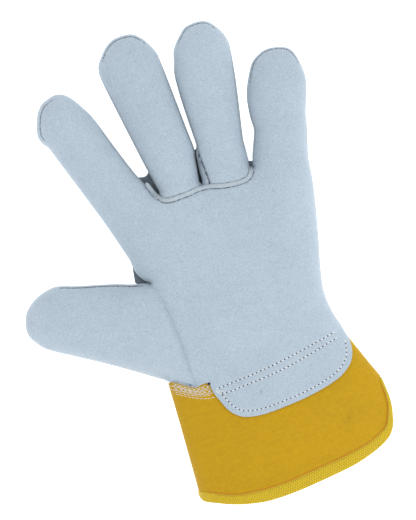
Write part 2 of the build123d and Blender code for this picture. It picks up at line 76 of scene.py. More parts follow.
LITTLE = [(40.0, 65.9), (41.2, 67.6), (42.1, 69.8), (43.5, 72.9), (45.1, 76.0), (46.6, 79.1), (48.2, 82.2), (49.6, 85.8), (50.2, 92.7), (51.2, 98.4), (52.1, 102.3), (54.2, 108.1),
    (56.3, 112.4), (58.4, 115.9), (61.7, 120.6), (63.2, 122.2), (66.0, 124.0), (68.2, 125.0), (70.5, 125.7), (72.2, 126.0),
    (74.4, 126.0), (76.8, 125.7), (79.6, 124.9), (82.8, 123.6), (84.1, 122.9), (85.2, 122.1), (86.3, 120.8), (87.1, 119.3),
    (87.9, 117.0), (88.7, 110.8), (88.6, 104.5), (87.8, 100.3), (84.8, 92.3), (80.8, 83.4), (78.1, 74.5), (72.6, 58.8),
    (70.5, 48.3), (68.3, 39.4), (59.8, 11.1), (57.7, 5.2), (53.7, -8.0), (52.4, -13.3), (51.8, -19.3), (51.9, -25.0),
    (52.5, -30.0), (54.0, -37.4), (54.5, -41.6), (55.2, -44.8)]
CUFF_RIGHT = [(55.2, -44.8), (55.9, -46.7), (60.6, -63.7), (64.2, -75.5), (64.6, -78.8), (64.7, -85.0), (64.3, -88.7), (63.7, -92.1),
    (61.4, -99.2)]
HEM = [(61.4, -99.2), (59.1, -103.2), (56.1, -106.5), (52.1, -108.8), (46.4, -110.9), (38.4, -112.9), (31.0, -114.2), (19.5, -115.1), (-3.1, -116.0),
    (-15.2, -115.7), (-23.5, -114.9), (-30.3, -113.4), (-37.0, -111.4), (-43.9, -108.7), (-52.7, -104.4), (-56.2, -102.4),
    (-57.6, -100.4)]
CUFF_LEFT = [(-57.6, -100.4), (-58.2, -98.0), (-57.0, -88.8), (-52.2, -44.4), (-50.9, -30.2)]

THUMB_SEAM = [(-38.8, 26.0), (-37.2, 19.0), (-36.2, 9.0), (-35.8, -3.0), (-35.9, -13.0), (-36.6, -22.3), (-36.8, -29.8), (-36.3, -39.3)]
THUMB_HEM = [(-36.3, -39.3), (-38.8, -38.1), (-41.3, -36.4), (-44.4, -33.9), (-47.5, -31.7), (-50.9, -30.2)]
PATCH = [(55.2, -44.8), (55.0, -49.0), (53.6, -54.6), (50.4, -59.2), (44.0, -63.4), (36.4, -65.6), (28.3, -66.9), (18.0, -67.8), (9.6, -68.0), (-3.4, -67.8),
    (-12.1, -66.6), (-18.4, -64.3), (-22.6, -60.6), (-25.1, -56.5), (-26.6, -51.9), (-28.1, -47.5), (-28.7, -44.5), (-28.8, -41.5), (-29.0, -39.3)]
PATCH_STEP = [(-29.0, -39.3), (-31.2, -38.8), (-33.6, -38.7), (-36.3, -39.3)]
WELT = [(-15.6, 69.8), (-14.2, 67.8), (-12.2, 66.6), (-9.0, 65.9), (-4.4, 65.7), (1.1, 65.6), (7.2, 65.8), (13.4, 64.9), (20.6, 62.4),
    (28.7, 60.8), (33.8, 60.6), (36.6, 61.5), (38.4, 63.2), (39.4, 65.0), (39.9, 66.9)]
WELT_ARM = [(-19.7, 80.8), (-18.9, 77.6), (-17.5, 73.2), (-16.2, 70.4), (-14.5, 68.2)]
ROW_1 = [(-27.0, -44.2), (-15.4, -44.2), (-3.6, -44.2), (8.1, -43.7), (21.8, -42.6), (36.0, -41.0), (51.4, -39.0)]
ROW_2 = [(-26.4, -46.8), (-22.4, -48.2), (-15.4, -48.4), (-9.6, -48.4), (2.2, -48.4), (13.7, -47.8), (25.1, -46.6), (38.7, -44.5), (51.8, -42.4)]
ROW_EDGE = [(-25.2, -46.4), (-23.4, -51.2), (-20.8, -57.0), (-16.6, -61.4), (-11.0, -63.4), (-3.6, -64.6), (9.0, -64.9), (20.0, -64.6),
    (30.6, -63.4), (39.6, -61.4), (45.8, -58.6), (49.6, -55.0), (51.4, -50.6), (52.6, -44.4)]
RING_SEAM = [(15.4, 90.0), (14.9, 84.0), (14.7, 77.8), (14.6, 72.2), (14.5, 68.4), (14.0, 65.4)]


def smooth(points, step):
    """A centripetal curve through the points, resampled at an even step, first and last kept."""
    p = np.array(points, float)
    q = np.vstack([2 * p[0] - p[1], p, 2 * p[-1] - p[-2]])
    out = []
    for i in range(1, len(q) - 2):
        p0, p1, p2, p3 = q[i - 1], q[i], q[i + 1], q[i + 2]
        t0 = 0.0
        t1 = t0 + max(np.linalg.norm(p1 - p0), 1e-6) ** 0.5
        t2 = t1 + max(np.linalg.norm(p2 - p1), 1e-6) ** 0.5
        t3 = t2 + max(np.linalg.norm(p3 - p2), 1e-6) ** 0.5
        n = max(3, int(np.linalg.norm(p2 - p1) / 0.25))
        t = np.linspace(t1, t2, n, endpoint=False)[:, None]
        a1 = (t1 - t) / (t1 - t0) * p0 + (t - t0) / (t1 - t0) * p1
        a2 = (t2 - t) / (t2 - t1) * p1 + (t - t1) / (t2 - t1) * p2
        a3 = (t3 - t) / (t3 - t2) * p2 + (t - t2) / (t3 - t2) * p3
        b1 = (t2 - t) / (t2 - t0) * a1 + (t - t0) / (t2 - t0) * a2
        b2 = (t3 - t) / (t3 - t1) * a2 + (t - t1) / (t3 - t1) * a3
        out.append((t2 - t) / (t2 - t1) * b1 + (t - t1) / (t2 - t1) * b2)
    c = np.vstack(out + [p[-1:]])
    s = np.r_[0, np.cumsum(np.linalg.norm(np.diff(c, axis=0), axis=1))]
    n = max(2, int(round(s[-1] / step)))
    u = np.linspace(0, s[-1], n + 1)
    return np.c_[np.interp(u, s, c[:, 0]), np.interp(u, s, c[:, 1])]


STEP = 1.0
c_thumb = smooth(WRIST_TO_THUMB, STEP)
c_index = smooth(CROTCH_TO_INDEX, STEP)
c_middle = smooth(MIDDLE, STEP)
c_ring = smooth(RING, STEP)
c_little = smooth(LITTLE, STEP)
c_cright = smooth(CUFF_RIGHT, STEP)
c_hem = smooth(HEM, STEP)
c_cleft = smooth(CUFF_LEFT, STEP)
c_tseam = smooth(THUMB_SEAM, STEP)
c_them = smooth(THUMB_HEM, STEP)
c_patch = np.vstack([smooth(PATCH, STEP)[:-1], smooth(PATCH_STEP, STEP)])
domain = np.vstack([c[:-1] for c in (c_thumb, c_index, c_middle, c_ring, c_little, c_cright, c_hem, c_cleft)])


def seg_dist(pts, poly, closed=False):
    """Distance of each point to a polyline, with the nearest point and the segment's index."""
    a = poly
    b = np.roll(poly, -1, axis=0) if closed else poly[1:]
    a = a if closed else poly[:-1]
    d = b - a
    L = (d ** 2).sum(1)
    best = np.full(len(pts), 1e9)
    near = np.zeros((len(pts), 2))
    which = np.zeros(len(pts), int)
    for k in range(0, len(pts), 4000):
        p = pts[k:k + 4000]
        t = ((p[:, None, :] - a[None]) * d[None]).sum(2) / np.maximum(L, 1e-12)[None]
        t = np.clip(t, 0, 1)
        q = a[None] + t[..., None] * d[None]
        e = ((p[:, None, :] - q) ** 2).sum(2)
        j = e.argmin(1)
        r = np.arange(len(p))
        best[k:k + 4000] = np.sqrt(e[r, j])
        near[k:k + 4000] = q[r, j]
        which[k:k + 4000] = j
    return best, near, which


def inside(pts, poly):
    x, y = pts[:, 0], pts[:, 1]
    r = np.zeros(len(pts), bool)
    x0, y0 = poly[-1]
    for x1, y1 in poly:
        cond = (y1 > y) != (y0 > y)
        with np.errstate(divide="ignore", invalid="ignore"):
            xi = (x0 - x1) * (y - y1) / (y0 - y1 + 1e-30) + x1
        r ^= cond & (x < xi)
        x0, y0 = x1, y1
    return r


# ---------------------------------------------------- inflated height of the glove
GX0, GY0, GS = -120.0, -121.0, 1.0
NX, NY = 214, 291
gx = GX0 + GS * np.arange(NX)
gy = GY0 + GS * np.arange(NY)
GXX, GYY = np.meshgrid(gx, gy)
mask = inside(np.c_[GXX.ravel(), GYY.ravel()], domain).reshape(NY, NX)
LAM = 13.5
u = np.zeros((NY, NX))
den = 4.0 + (GS / LAM) ** 2
rb = (np.add.outer(np.arange(NY), np.arange(NX)) % 2).astype(bool)
for it in range(420):
    for par in (rb, ~rb):
        s = np.zeros_like(u)
        s[1:-1, 1:-1] = u[2:, 1:-1] + u[:-2, 1:-1] + u[1:-1, 2:] + u[1:-1, :-2]
        new = (s + GS * GS) / den
        w = mask & par
        u[w] += 1.75 * (new[w] - u[w])
u[~mask] = 0


def grid_u(p):
    fx = np.clip((p[:, 0] - GX0) / GS, 0, NX - 1.001)
    fy = np.clip((p[:, 1] - GY0) / GS, 0, NY - 1.001)
    i, j = fx.astype(int), fy.astype(int)
    a, b = fx - i, fy - j
    return (u[j, i] * (1 - a) * (1 - b) + u[j, i + 1] * a * (1 - b) + u[j + 1, i] * (1 - a) * b + u[j + 1, i + 1] * a * b)


dn = np.roll(domain, -1, axis=0) - domain
dn = dn / np.linalg.norm(dn, axis=1)[:, None]
area = 0.5 * np.sum(domain[:, 0] * np.roll(domain[:, 1], -1) - np.roll(domain[:, 0], -1) * domain[:, 1])
seg_in = np.c_[-dn[:, 1], dn[:, 0]] * (1 if area > 0 else -1)


def inflate(p):
    """Half height of the filled glove at pattern points."""
    d, near, j = seg_dist(p, domain, True)
    d0 = 2.4
    n = p - near
    L = np.linalg.norm(n, axis=1)
    nn = np.where(L[:, None] > 0.3, n / np.maximum(L, 1e-9)[:, None], seg_in[j])
    q = near + nn * d0
    u_in = grid_u(p)
    u0 = grid_u(q)
    w = 14.0
    u_edge = u0 * d * (2 * w - d) / (d0 * (2 * w - d0))
    t = np.clip((d - 1.6) / 1.6, 0, 1)
    uu = np.where(d < 3.2, u_edge * (1 - t) + u_in * t, u_in)
    return 0.86 * np.sqrt(2 * np.maximum(uu, 0)), d


def crom(y, col):
    ys = HAND_ROWS[:, 0]
    v = HAND_ROWS[:, col]
    m = np.gradient(v, ys)
    k = np.clip(np.searchsorted(ys, y) - 1, 0, len(ys) - 2)
    h = ys[k + 1] - ys[k]
    t = np.clip((y - ys[k]) / h, 0, 1)
    return ((2 * t ** 3 - 3 * t ** 2 + 1) * v[k] + (t ** 3 - 2 * t ** 2 + t) * h * m[k] + (-2 * t ** 3 + 3 * t ** 2) * v[k + 1] + (t ** 3 - t ** 2) * h * m[k + 1])


def tube(y):
    """Centre x, half width, half height and middle height of the hand tube."""
    y = np.asarray(y, float)
    l, r, b = crom(y, 1), crom(y, 2), crom(y, 3)
    t = np.clip((-32.0 - y) / 50.0, 0, 1)
    return 0.5 * (l + r), 0.5 * (r - l), b, 1.0 - 1.7 * t + b


def sstep(v, a, b):
    t = np.clip((v - a) / (b - a), 0, 1)
    return t * t * (3 - 2 * t)


def mid(p):
    """Height of the seam between front and back leather."""
    y = p[:, 1]
    low = tube(np.minimum(y, -4.0))[3]
    return low * (1 - sstep(y, -20, 20)) + 14.8 * sstep(y, -20, 20)


def vnoise(p, scale, seed):
    """Smooth value noise, -1 to 1."""
    q = p / scale
    i = np.floor(q).astype(int)
    f = q - i
    f = f * f * (3 - 2 * f)

    def h(ix, iy):
        n = (ix * 374761393 + iy * 668265263 + seed * 1442695041) & 0x7FFFFFFF
        n = ((n ^ (n >> 13)) * 1274126177) & 0x7FFFFFFF
        return (n % 100003) / 50001.5 - 1
    a = h(i[:, 0], i[:, 1]); b = h(i[:, 0] + 1, i[:, 1]); c = h(i[:, 0], i[:, 1] + 1); d = h(i[:, 0] + 1, i[:, 1] + 1)
    return (a * (1 - f[:, 0]) + b * f[:, 0]) * (1 - f[:, 1]) + (c * (1 - f[:, 0]) + d * f[:, 0]) * f[:, 1]


def arc_of(curve, cond):
    return curve[cond(curve[:, 0], curve[:, 1])]


def inset(curve, dist):
    """A curve moved to the inside of the glove."""
    d = np.gradient(curve, axis=0)
    d = d / np.linalg.norm(d, axis=1)[:, None]
    n = np.c_[-d[:, 1], d[:, 0]] * (1 if area > 0 else -1)
    return curve + n * dist


rim_index = inset(arc_of(c_index, lambda x, y: (y > 124) & (x < -52)), 2.3)
rim_middle = inset(arc_of(c_middle, lambda x, y: y > 155.2), 1.7)
rim_ring = inset(arc_of(c_ring, lambda x, y: y > 148.5), 1.5)
rim_little = inset(arc_of(c_little, lambda x, y: y > 112), 1.3)
rim_thumb = inset(arc_of(c_thumb, lambda x, y: (x > -88) & (y > 20) & (x < -43)), 1.25)

GROOVES = [(c_tseam, 1.3, 2.5), (c_tseam, 0.45, 0.6), (smooth(RING_SEAM, 1.0), 0.9, 0.7),
           (rim_index, 0.55, 0.5), (rim_middle, 0.5, 0.45), (rim_ring, 0.5, 0.45), (rim_little, 0.45, 0.4), (rim_thumb, 0.6, 0.5),
           (smooth(WELT, 1.0), 0.7, 2.0),
           (smooth(ROW_1, 1.0), 0.26, 0.7), (smooth(ROW_2, 1.0), 0.26, 0.7), (smooth(ROW_EDGE, 1.0), 0.26, 0.7)]


def leather_waves(p):
    return (0.34 * vnoise(p, 27.0, 1) + 0.16 * vnoise(p, 11.0, 2) + 0.05 * vnoise(p, 4.5, 3))


def front_z(p):
    h, d = inflate(p)
    zc = mid(p)
    cx, a, b, zt = tube(p[:, 1])
    e = b * np.sqrt(np.clip(1 - ((p[:, 0] - cx) / (a + 0.4)) ** 2, 0, 1))
    w = sstep(-p[:, 1], 34, 48)
    z = zc + h * (1 - w) + e * w
    fade = np.clip(d / 5.0, 0, 1)
    z = z + leather_waves(p) * fade
    for line, depth, width in GROOVES:
        box = ((p[:, 0] > line[:, 0].min() - 8) & (p[:, 0] < line[:, 0].max() + 8) & (p[:, 1] > line[:, 1].min() - 8) & (p[:, 1] < line[:, 1].max() + 8))
        if box.any():
            ds = seg_dist(p[box], line)[0]
            z[box] -= depth * np.exp(-(ds / width) ** 2) * np.clip(d[box] / 0.8, 0, 1)
    return z


def soft_floor(z, floor, k=1.2):
    return floor + 0.5 * ((z - floor) + np.sqrt((z - floor) ** 2 + k * k))


def back_z(p):
    h, d = inflate(p)
    zc = mid(p)
    cx, a, b, zt = tube(p[:, 1])
    e = b * np.sqrt(np.clip(1 - ((p[:, 0] - cx) / (a + 0.4)) ** 2, 0, 1))
    w = sstep(-p[:, 1], 34, 48)
    z = zc - h * (1 - w) - e * w
    q = p * np.array([1.0, 1.0]) + 300
    z = z + leather_waves(q) * np.clip(d / 5.0, 0, 1)
    # gathers over the elastic at the wrist
    g = np.exp(-((p[:, 1] + 22.0) / 7.0) ** 2) * sstep(p[:, 0], -40, -26) * (1 - sstep(p[:, 0], 38, 50))
    z = z + g * (1.6 + 1.25 * np.sin(p[:, 0] * 2 * math.pi / 5.2 + 1.2 * vnoise(p, 9.0, 5)))
    return np.where(d < 0.01, z, soft_floor(z, 1.35) * np.clip(d / 1.0, 0, 1) + z * (1 - np.clip(d / 1.0, 0, 1)))


# ------------------------------------------------------------------ panels
def triangulate(poly, rings=(0.12, 0.42, 0.9, 1.6, 2.6), grid=1.5, lines=(), fine=()):
    """Triangles that fill an outline, finer along its edge and along inner lines."""
    n = len(poly)
    d = np.roll(poly, -1, axis=0) - np.roll(poly, 1, axis=0)
    d = d / np.maximum(np.linalg.norm(d, axis=1), 1e-9)[:, None]
    a = 0.5 * np.sum(poly[:, 0] * np.roll(poly[:, 1], -1) - np.roll(poly[:, 0], -1) * poly[:, 1])
    nrm = np.c_[-d[:, 1], d[:, 0]] * (1 if a > 0 else -1)
    extra = []
    for r in rings:
        q = poly + nrm * r
        ok = inside(q, poly)
        ok &= seg_dist(q, poly, True)[0] > 0.93 * r
        extra.append(q[ok])
    keep_off = rings[-1] + 0.55 * grid
    lo, hi = poly.min(0), poly.max(0)
    xs = np.arange(lo[0], hi[0], grid)
    ys = np.arange(lo[1], hi[1], grid * 0.866)
    g = np.array([(x + (0.5 * grid if k % 2 else 0), y) for k, y in enumerate(ys) for x in xs])
    g = g[inside(g, poly)]
    g = g[seg_dist(g, poly, True)[0] > keep_off]
    for line in lines:
        line = np.asarray(line)
        t = np.gradient(line, axis=0)
        t = t / np.maximum(np.linalg.norm(t, axis=1), 1e-9)[:, None]
        m = np.c_[-t[:, 1], t[:, 0]]
        g = g[seg_dist(g, line)[0] > 1.9]
        for r in (0.0, 0.22, -0.22, 0.5, -0.5, 1.0, -1.0, 1.7, -1.7):
            q = line + m * r
            q = q[inside(q, poly)]
            if len(q):
                q = q[seg_dist(q, poly, True)[0] > 0.35]
                extra.append(q)
    pts = [poly] + [e for e in extra if len(e)] + [g]
    allp = np.vstack(pts)
    vs = [Vector((float(x), float(y))) for x, y in allp]
    es = [(i, (i + 1) % n) for i in range(n)]
    ov, oe, of, *_ = delaunay_2d_cdt(vs, es, [], 0, 1e-4)
    P = np.array([(v.x, v.y) for v in ov])
    T = np.array([f for f in of if len(f) == 3])
    c = P[T].mean(1)
    T = T[inside(c, poly)]
    e1, e2 = P[T[:, 1]] - P[T[:, 0]], P[T[:, 2]] - P[T[:, 0]]
    cr = e1[:, 0] * e2[:, 1] - e1[:, 1] * e2[:, 0]
    T[cr < 0] = T[cr < 0][:, ::-1]
    T = T[np.abs(cr) > 1e-6]
    used = np.unique(T)
    remap = -np.ones(len(P), int)
    remap[used] = np.arange(len(used))
    return P[used], remap[T]


def to_m(v):
    v = np.asarray(v, float)
    return np.c_[(v[:, 0] - OX), (v[:, 1] - OY), v[:, 2]] / 1000.0


def vertex_normals(v, f):
    n = np.cross(v[f[:, 1]] - v[f[:, 0]], v[f[:, 2]] - v[f[:, 0]])
    out = np.zeros_like(v)
    for k in range(3):
        np.add.at(out, f[:, k], n)
    return out / np.maximum(np.linalg.norm(out, axis=1), 1e-12)[:, None]


def new_mesh(name, verts_mm, faces, mats, smooth_all=True, sharp=None, mat_index=None, attrs=None, uv=None):
    me = bpy.data.meshes.new(name)
    me.from_pydata([tuple(r) for r in to_m(verts_mm)], [], [tuple(int(i) for i in f) for f in faces])
    me.update()
    for m in mats:
        me.materials.append(m)
    me.polygons.foreach_set("use_smooth", [smooth_all] * len(me.polygons))
    if mat_index is not None:
        me.polygons.foreach_set("material_index", [int(i) for i in mat_index])
    if attrs:
        for k, arr in attrs.items():
            at = me.attributes.new(k, "FLOAT", "POINT")
            at.data.foreach_set("value", np.asarray(arr, np.float32))
    if uv is not None:
        lay = me.uv_layers.new(name="UVMap")
        idx = np.empty(len(me.loops), np.int32)
        me.loops.foreach_get("vertex_index", idx)
        lay.data.foreach_set("uv", np.asarray(uv, np.float32)[idx].ravel())
    if sharp:
        keys = set(tuple(sorted(e)) for e in sharp)
        at = me.attributes.new("sharp_edge", "BOOLEAN", "EDGE")
        ev = np.empty(len(me.edges) * 2, np.int32)
        me.edges.foreach_get("vertices", ev)
        ev = np.sort(ev.reshape(-1, 2), axis=1)
        at.data.foreach_set("value", [tuple(e) in keys for e in ev.tolist()])
    me.validate()
    ob = bpy.data.objects.new(name, me)
    bpy.context.scene.collection.objects.link(ob)
    return ob


def boundary_edges(f):
    e = np.vstack([f[:, [0, 1]], f[:, [1, 2]], f[:, [2, 0]]])
    s = np.sort(e, axis=1)
    key, inv, cnt = np.unique(s, axis=0, return_inverse=True, return_counts=True)
    return e[cnt[inv.ravel()] == 1]


def shell(v, f, thick, normals=None):
    """A closed shell: the surface, its copy set inwards by the thickness, and the edge walls."""
    n = vertex_normals(v, f) if normals is None else normals
    inner = v - n * thick
    b = boundary_edges(f)
    k = len(v)
    walls = np.array([(e[1], e[0], e[0] + k) for e in b] + [(e[1], e[0] + k, e[1] + k) for e in b])
    V = np.vstack([v, inner])
    F = np.vstack([f, f[:, ::-1] + k, walls])
    sharp = [tuple(e) for e in b] + [(e[0] + k, e[1] + k) for e in b]
    idx = np.r_[np.zeros(len(f), int), np.ones(len(f), int), np.full(len(walls), 2)]
    return V, F, sharp, idx



# ------------------------------------------------------------------ materials
def nodes_of(name):
    m = bpy.data.materials.new(name)
    m.use_nodes = True
    nt = m.node_tree
    for n in list(nt.nodes):
        nt.nodes.remove(n)
    out = nt.nodes.new("ShaderNodeOutputMaterial")
    bsdf = nt.nodes.new("ShaderNodeBsdfPrincipled")
    nt.links.new(bsdf.outputs[0], out.inputs[0])
    return m, nt, bsdf


def nnode(nt, kind, inputs=None, **props):
    n = nt.nodes.new(kind)
    for k, v in props.items():
        setattr(n, k, v)
    for k, v in (inputs or {}).items():
        if isinstance(v, bpy.types.NodeSocket):
            nt.links.new(v, n.inputs[k])
        else:
            n.inputs[k].default_value = v
    return n


def mathn(nt, op, a, b=None, clamp=False):
    n = nt.nodes.new("ShaderNodeMath")
    n.operation = op
    n.use_clamp = clamp
    for i, v in enumerate((a, b)):
        if v is None:
            continue
        if isinstance(v, bpy.types.NodeSocket):
            nt.links.new(v, n.inputs[i])
        else:
            n.inputs[i].default_value = v
    return n.outputs[0]


def noise(nt, vec, scale, detail=3.0, rough=0.55):
    n = nnode(nt, "ShaderNodeTexNoise", {"Scale": scale, "Detail": detail, "Roughness": rough, "Vector": vec})
    return n.outputs["Fac"]


def mixc(nt, fac, a, b):
    n = nt.nodes.new("ShaderNodeMix")
    n.data_type = "RGBA"
    ins = [i for i in n.inputs if i.type == "RGBA"]
    fi = n.inputs[0]
    if isinstance(fac, bpy.types.NodeSocket):
        nt.links.new(fac, fi)
    else:
        fi.default_value = fac
    for sck, v in zip(ins, (a, b)):
        if isinstance(v, bpy.types.NodeSocket):
            nt.links.new(v, sck)
        else:
            sck.default_value = v
    return [o for o in n.outputs if o.type == "RGBA"][0]


def ramp01(nt, v, lo, hi):
    n = nnode(nt, "ShaderNodeMapRange", {0: v, 1: lo, 2: hi, 3: 0.0, 4: 1.0})
    n.clamp = True
    return n.outputs[0]


def srgb(r, g, b, k=1.0):
    def f(c):
        c = c / 255.0
        return c / 12.92 if c <= 0.04045 else ((c + 0.055) / 1.055) ** 2.4
    return (f(r) * k, f(g) * k, f(b) * k, 1.0)


GAIN = 0.815     # surfaces are painted this much darker than they look under the set's light


def suede(name, tone, rough=0.84, tint=(1.0, 1.0, 1.0)):
    m, nt, b = nodes_of(name)
    co = nnode(nt, "ShaderNodeTexCoord").outputs["Object"]
    big = noise(nt, co, 26.0, 2.0)
    midn = noise(nt, co, 190.0, 3.0)
    fine = noise(nt, co, 1150.0, 2.0, 0.7)
    c = srgb(*tone, GAIN)
    dark = (c[0] * 0.80, c[1] * 0.82, c[2] * 0.84, 1)
    light = (min(c[0] * 1.17, 1), min(c[1] * 1.15, 1), min(c[2] * 1.13, 1), 1)
    v = mathn(nt, "ADD", mathn(nt, "MULTIPLY", big, 0.17), mathn(nt, "ADD", mathn(nt, "MULTIPLY", midn, 0.12), mathn(nt, "MULTIPLY", fine, 0.66)))
    col = mixc(nt, ramp01(nt, v, 0.31, 0.64), dark, light)
    # painted shade: a mesh attribute darkens the suede along seams, welt edges, rim grooves and the ring's fourchette
    # strip, broken up by noise
    shade_and_smudge = nnode(nt, "ShaderNodeAttribute", attribute_name="shade_and_smudge").outputs["Fac"]
    bead = ramp01(nt, noise(nt, co, 560.0, 1.0), 0.36, 0.62)
    wob = mathn(nt, "MULTIPLY", shade_and_smudge, mathn(nt, "ADD", 0.42, mathn(nt, "MULTIPLY", bead, 0.95)), True)
    col = mixc(nt, wob, col, (c[0] * 0.16, c[1] * 0.18, c[2] * 0.20, 1))
    nt.links.new(col, b.inputs["Base Color"])
    nt.links.new(nnode(nt, "ShaderNodeMapRange", {0: fine, 1: 0.3, 2: 0.7, 3: rough - 0.07, 4: min(rough + 0.06, 1.0)}).outputs[0], b.inputs["Roughness"])
    hgt = mathn(nt, "ADD", mathn(nt, "MULTIPLY", fine, 0.55), mathn(nt, "MULTIPLY", midn, 0.75))
    bp = nnode(nt, "ShaderNodeBump", {"Strength": 0.32, "Distance": 0.00042, "Height": hgt})
    nt.links.new(bp.outputs[0], b.inputs["Normal"])
    b.inputs["Sheen Weight"].default_value = 0.22
    b.inputs["Sheen Roughness"].default_value = 0.55
    b.inputs["Specular IOR Level"].default_value = 0.22
    return m


def canvas(name, tone, period_y, period_x, rough=0.62, depth=0.00016, contrast=0.10, sheen=0.05):
    """A rubberised cloth with a fine weave, stronger across than along."""
    m, nt, b = nodes_of(name)
    co = nnode(nt, "ShaderNodeTexCoord").outputs["Object"]
    wy = nnode(nt, "ShaderNodeTexWave", {"Scale": 0.314 / period_y, "Distortion": 0.7, "Detail": 1.0, "Detail Scale": 1.4, "Vector": co}, wave_type="BANDS", bands_direction="Y").outputs["Fac"]
    wx = nnode(nt, "ShaderNodeTexWave", {"Scale": 0.314 / period_x, "Distortion": 0.4, "Vector": co}, wave_type="BANDS", bands_direction="X").outputs["Fac"]
    big = noise(nt, co, 30.0, 3.0)
    st = nnode(nt, "ShaderNodeMapping", {"Vector": co, "Scale": (60.0, 620.0, 60.0)}).outputs[0]
    streak = noise(nt, st, 1.0, 2.0)
    w = mathn(nt, "ADD", mathn(nt, "MULTIPLY", wy, 0.6), mathn(nt, "MULTIPLY", wx, 0.25))
    c = srgb(*tone, GAIN)
    dark = (c[0] * (1 - contrast), c[1] * (1 - contrast * 1.1), c[2] * (1 - contrast * 1.3), 1)
    light = (min(c[0] * (1 + contrast * 0.85), 1), min(c[1] * (1 + contrast * 0.85), 1), min(c[2] * (1 + contrast * 1.0), 1), 1)
    grain = noise(nt, co, 1300.0, 2.0, 0.7)
    # darkening from a mesh attribute: real smudges on the cuff, and painted shade along its left fold
    cuff_smudge_and_shade = nnode(nt, "ShaderNodeAttribute", attribute_name="shade_and_smudge").outputs["Fac"]
    blotch = noise(nt, co, 420.0, 2.0, 0.6)
    f = mathn(nt, "ADD", mathn(nt, "MULTIPLY", w, 0.16), mathn(nt, "ADD", mathn(nt, "MULTIPLY", streak, 0.14), mathn(nt, "ADD", mathn(nt, "MULTIPLY", big, 0.16), mathn(nt, "ADD", mathn(nt, "MULTIPLY", blotch, 0.24), mathn(nt, "MULTIPLY", grain, 0.36)))))
    body = mixc(nt, ramp01(nt, f, 0.30, 0.68), dark, light)
    cuff_smudge_and_shade = mathn(nt, "MULTIPLY", cuff_smudge_and_shade, mathn(nt, "ADD", 0.4, big), True)
    nt.links.new(mixc(nt, cuff_smudge_and_shade, body, (c[0] * 0.35, c[1] * 0.36, c[2] * 0.9, 1)), b.inputs["Base Color"])
    nt.links.new(nnode(nt, "ShaderNodeMapRange", {0: big, 1: 0.3, 2: 0.7, 3: rough - 0.06, 4: rough + 0.08}).outputs[0], b.inputs["Roughness"])
    bp = nnode(nt, "ShaderNodeBump", {"Strength": 0.35, "Distance": depth, "Height": mathn(nt, "ADD", mathn(nt, "MULTIPLY", w, 0.6), mathn(nt, "MULTIPLY", grain, 0.6))})
    nt.links.new(bp.outputs[0], b.inputs["Normal"])
    b.inputs["Sheen Weight"].default_value = sheen
    b.inputs["Specular IOR Level"].default_value = 0.16
    return m


def herringbone(name, tone):
    """Woven tape; the piece carries its length and width along the tape as attributes."""
    m, nt, b = nodes_of(name)
    uu = nnode(nt, "ShaderNodeAttribute", attribute_name="tape_u").outputs["Fac"]
    vv = nnode(nt, "ShaderNodeAttribute", attribute_name="tape_v").outputs["Fac"]
    zig = mathn(nt, "MULTIPLY", mathn(nt, "ABSOLUTE", mathn(nt, "SUBTRACT", mathn(nt, "FRACT", mathn(nt, "DIVIDE", vv, 2.6)), 0.5)), 2.6)
    ph = mathn(nt, "MULTIPLY", mathn(nt, "ADD", mathn(nt, "MULTIPLY", uu, 1.0), mathn(nt, "MULTIPLY", zig, 1.0)), 2 * math.pi / 1.45)
    st = mathn(nt, "ADD", mathn(nt, "MULTIPLY", mathn(nt, "SINE", ph), 0.5), 0.5)
    co = nnode(nt, "ShaderNodeTexCoord").outputs["Object"]
    fine = noise(nt, co, 900.0, 2.0)
    c = srgb(*tone, GAIN)
    dark = (c[0] * 0.66, c[1] * 0.62, c[2] * 0.5, 1)
    light = (min(c[0] * 1.20, 1), min(c[1] * 1.20, 1), min(c[2] * 1.4, 1), 1)
    f = mathn(nt, "ADD", mathn(nt, "MULTIPLY", st, 0.50), mathn(nt, "MULTIPLY", fine, 0.52))
    nt.links.new(mixc(nt, ramp01(nt, f, 0.24, 0.78), dark, light), b.inputs["Base Color"])
    nt.links.new(nnode(nt, "ShaderNodeMapRange", {0: fine, 1: 0.3, 2: 0.7, 3: 0.68, 4: 0.84}).outputs[0], b.inputs["Roughness"])
    bp = nnode(nt, "ShaderNodeBump", {"Strength": 0.4, "Distance": 0.0002, "Height": f})
    nt.links.new(bp.outputs[0], b.inputs["Normal"])
    b.inputs["Sheen Weight"].default_value = 0.05
    return m


def yarn(name, tone, scale=1500.0, rough=0.62):
    m, nt, b = nodes_of(name)
    co = nnode(nt, "ShaderNodeTexCoord").outputs["Object"]
    f = noise(nt, co, scale, 2.0)
    c = srgb(*tone, GAIN)
    nt.links.new(mixc(nt, ramp01(nt, f, 0.3, 0.7), (c[0] * 0.86, c[1] * 0.86, c[2] * 0.86, 1), (min(c[0] * 1.08, 1), min(c[1] * 1.08, 1), min(c[2] * 1.08, 1), 1)), b.inputs["Base Color"])
    nt.links.new(nnode(nt, "ShaderNodeMapRange", {0: f, 1: 0.3, 2: 0.7, 3: rough - 0.08, 4: rough + 0.08}).outputs[0], b.inputs["Roughness"])
    bp = nnode(nt, "ShaderNodeBump", {"Strength": 0.4, "Distance": 0.0001, "Height": f})
    nt.links.new(bp.outputs[0], b.inputs["Normal"])
    return m


m_leather = suede("leather_suede", (188, 204, 218))
m_leather_in = suede("leather_flesh_side", (172, 178, 182), 0.92)
# a darker copy of the leather: painted shade on the side strips between the fingers
m_gusset_shaded = suede("gusset_suede_shaded", (160, 174, 185), 0.88)
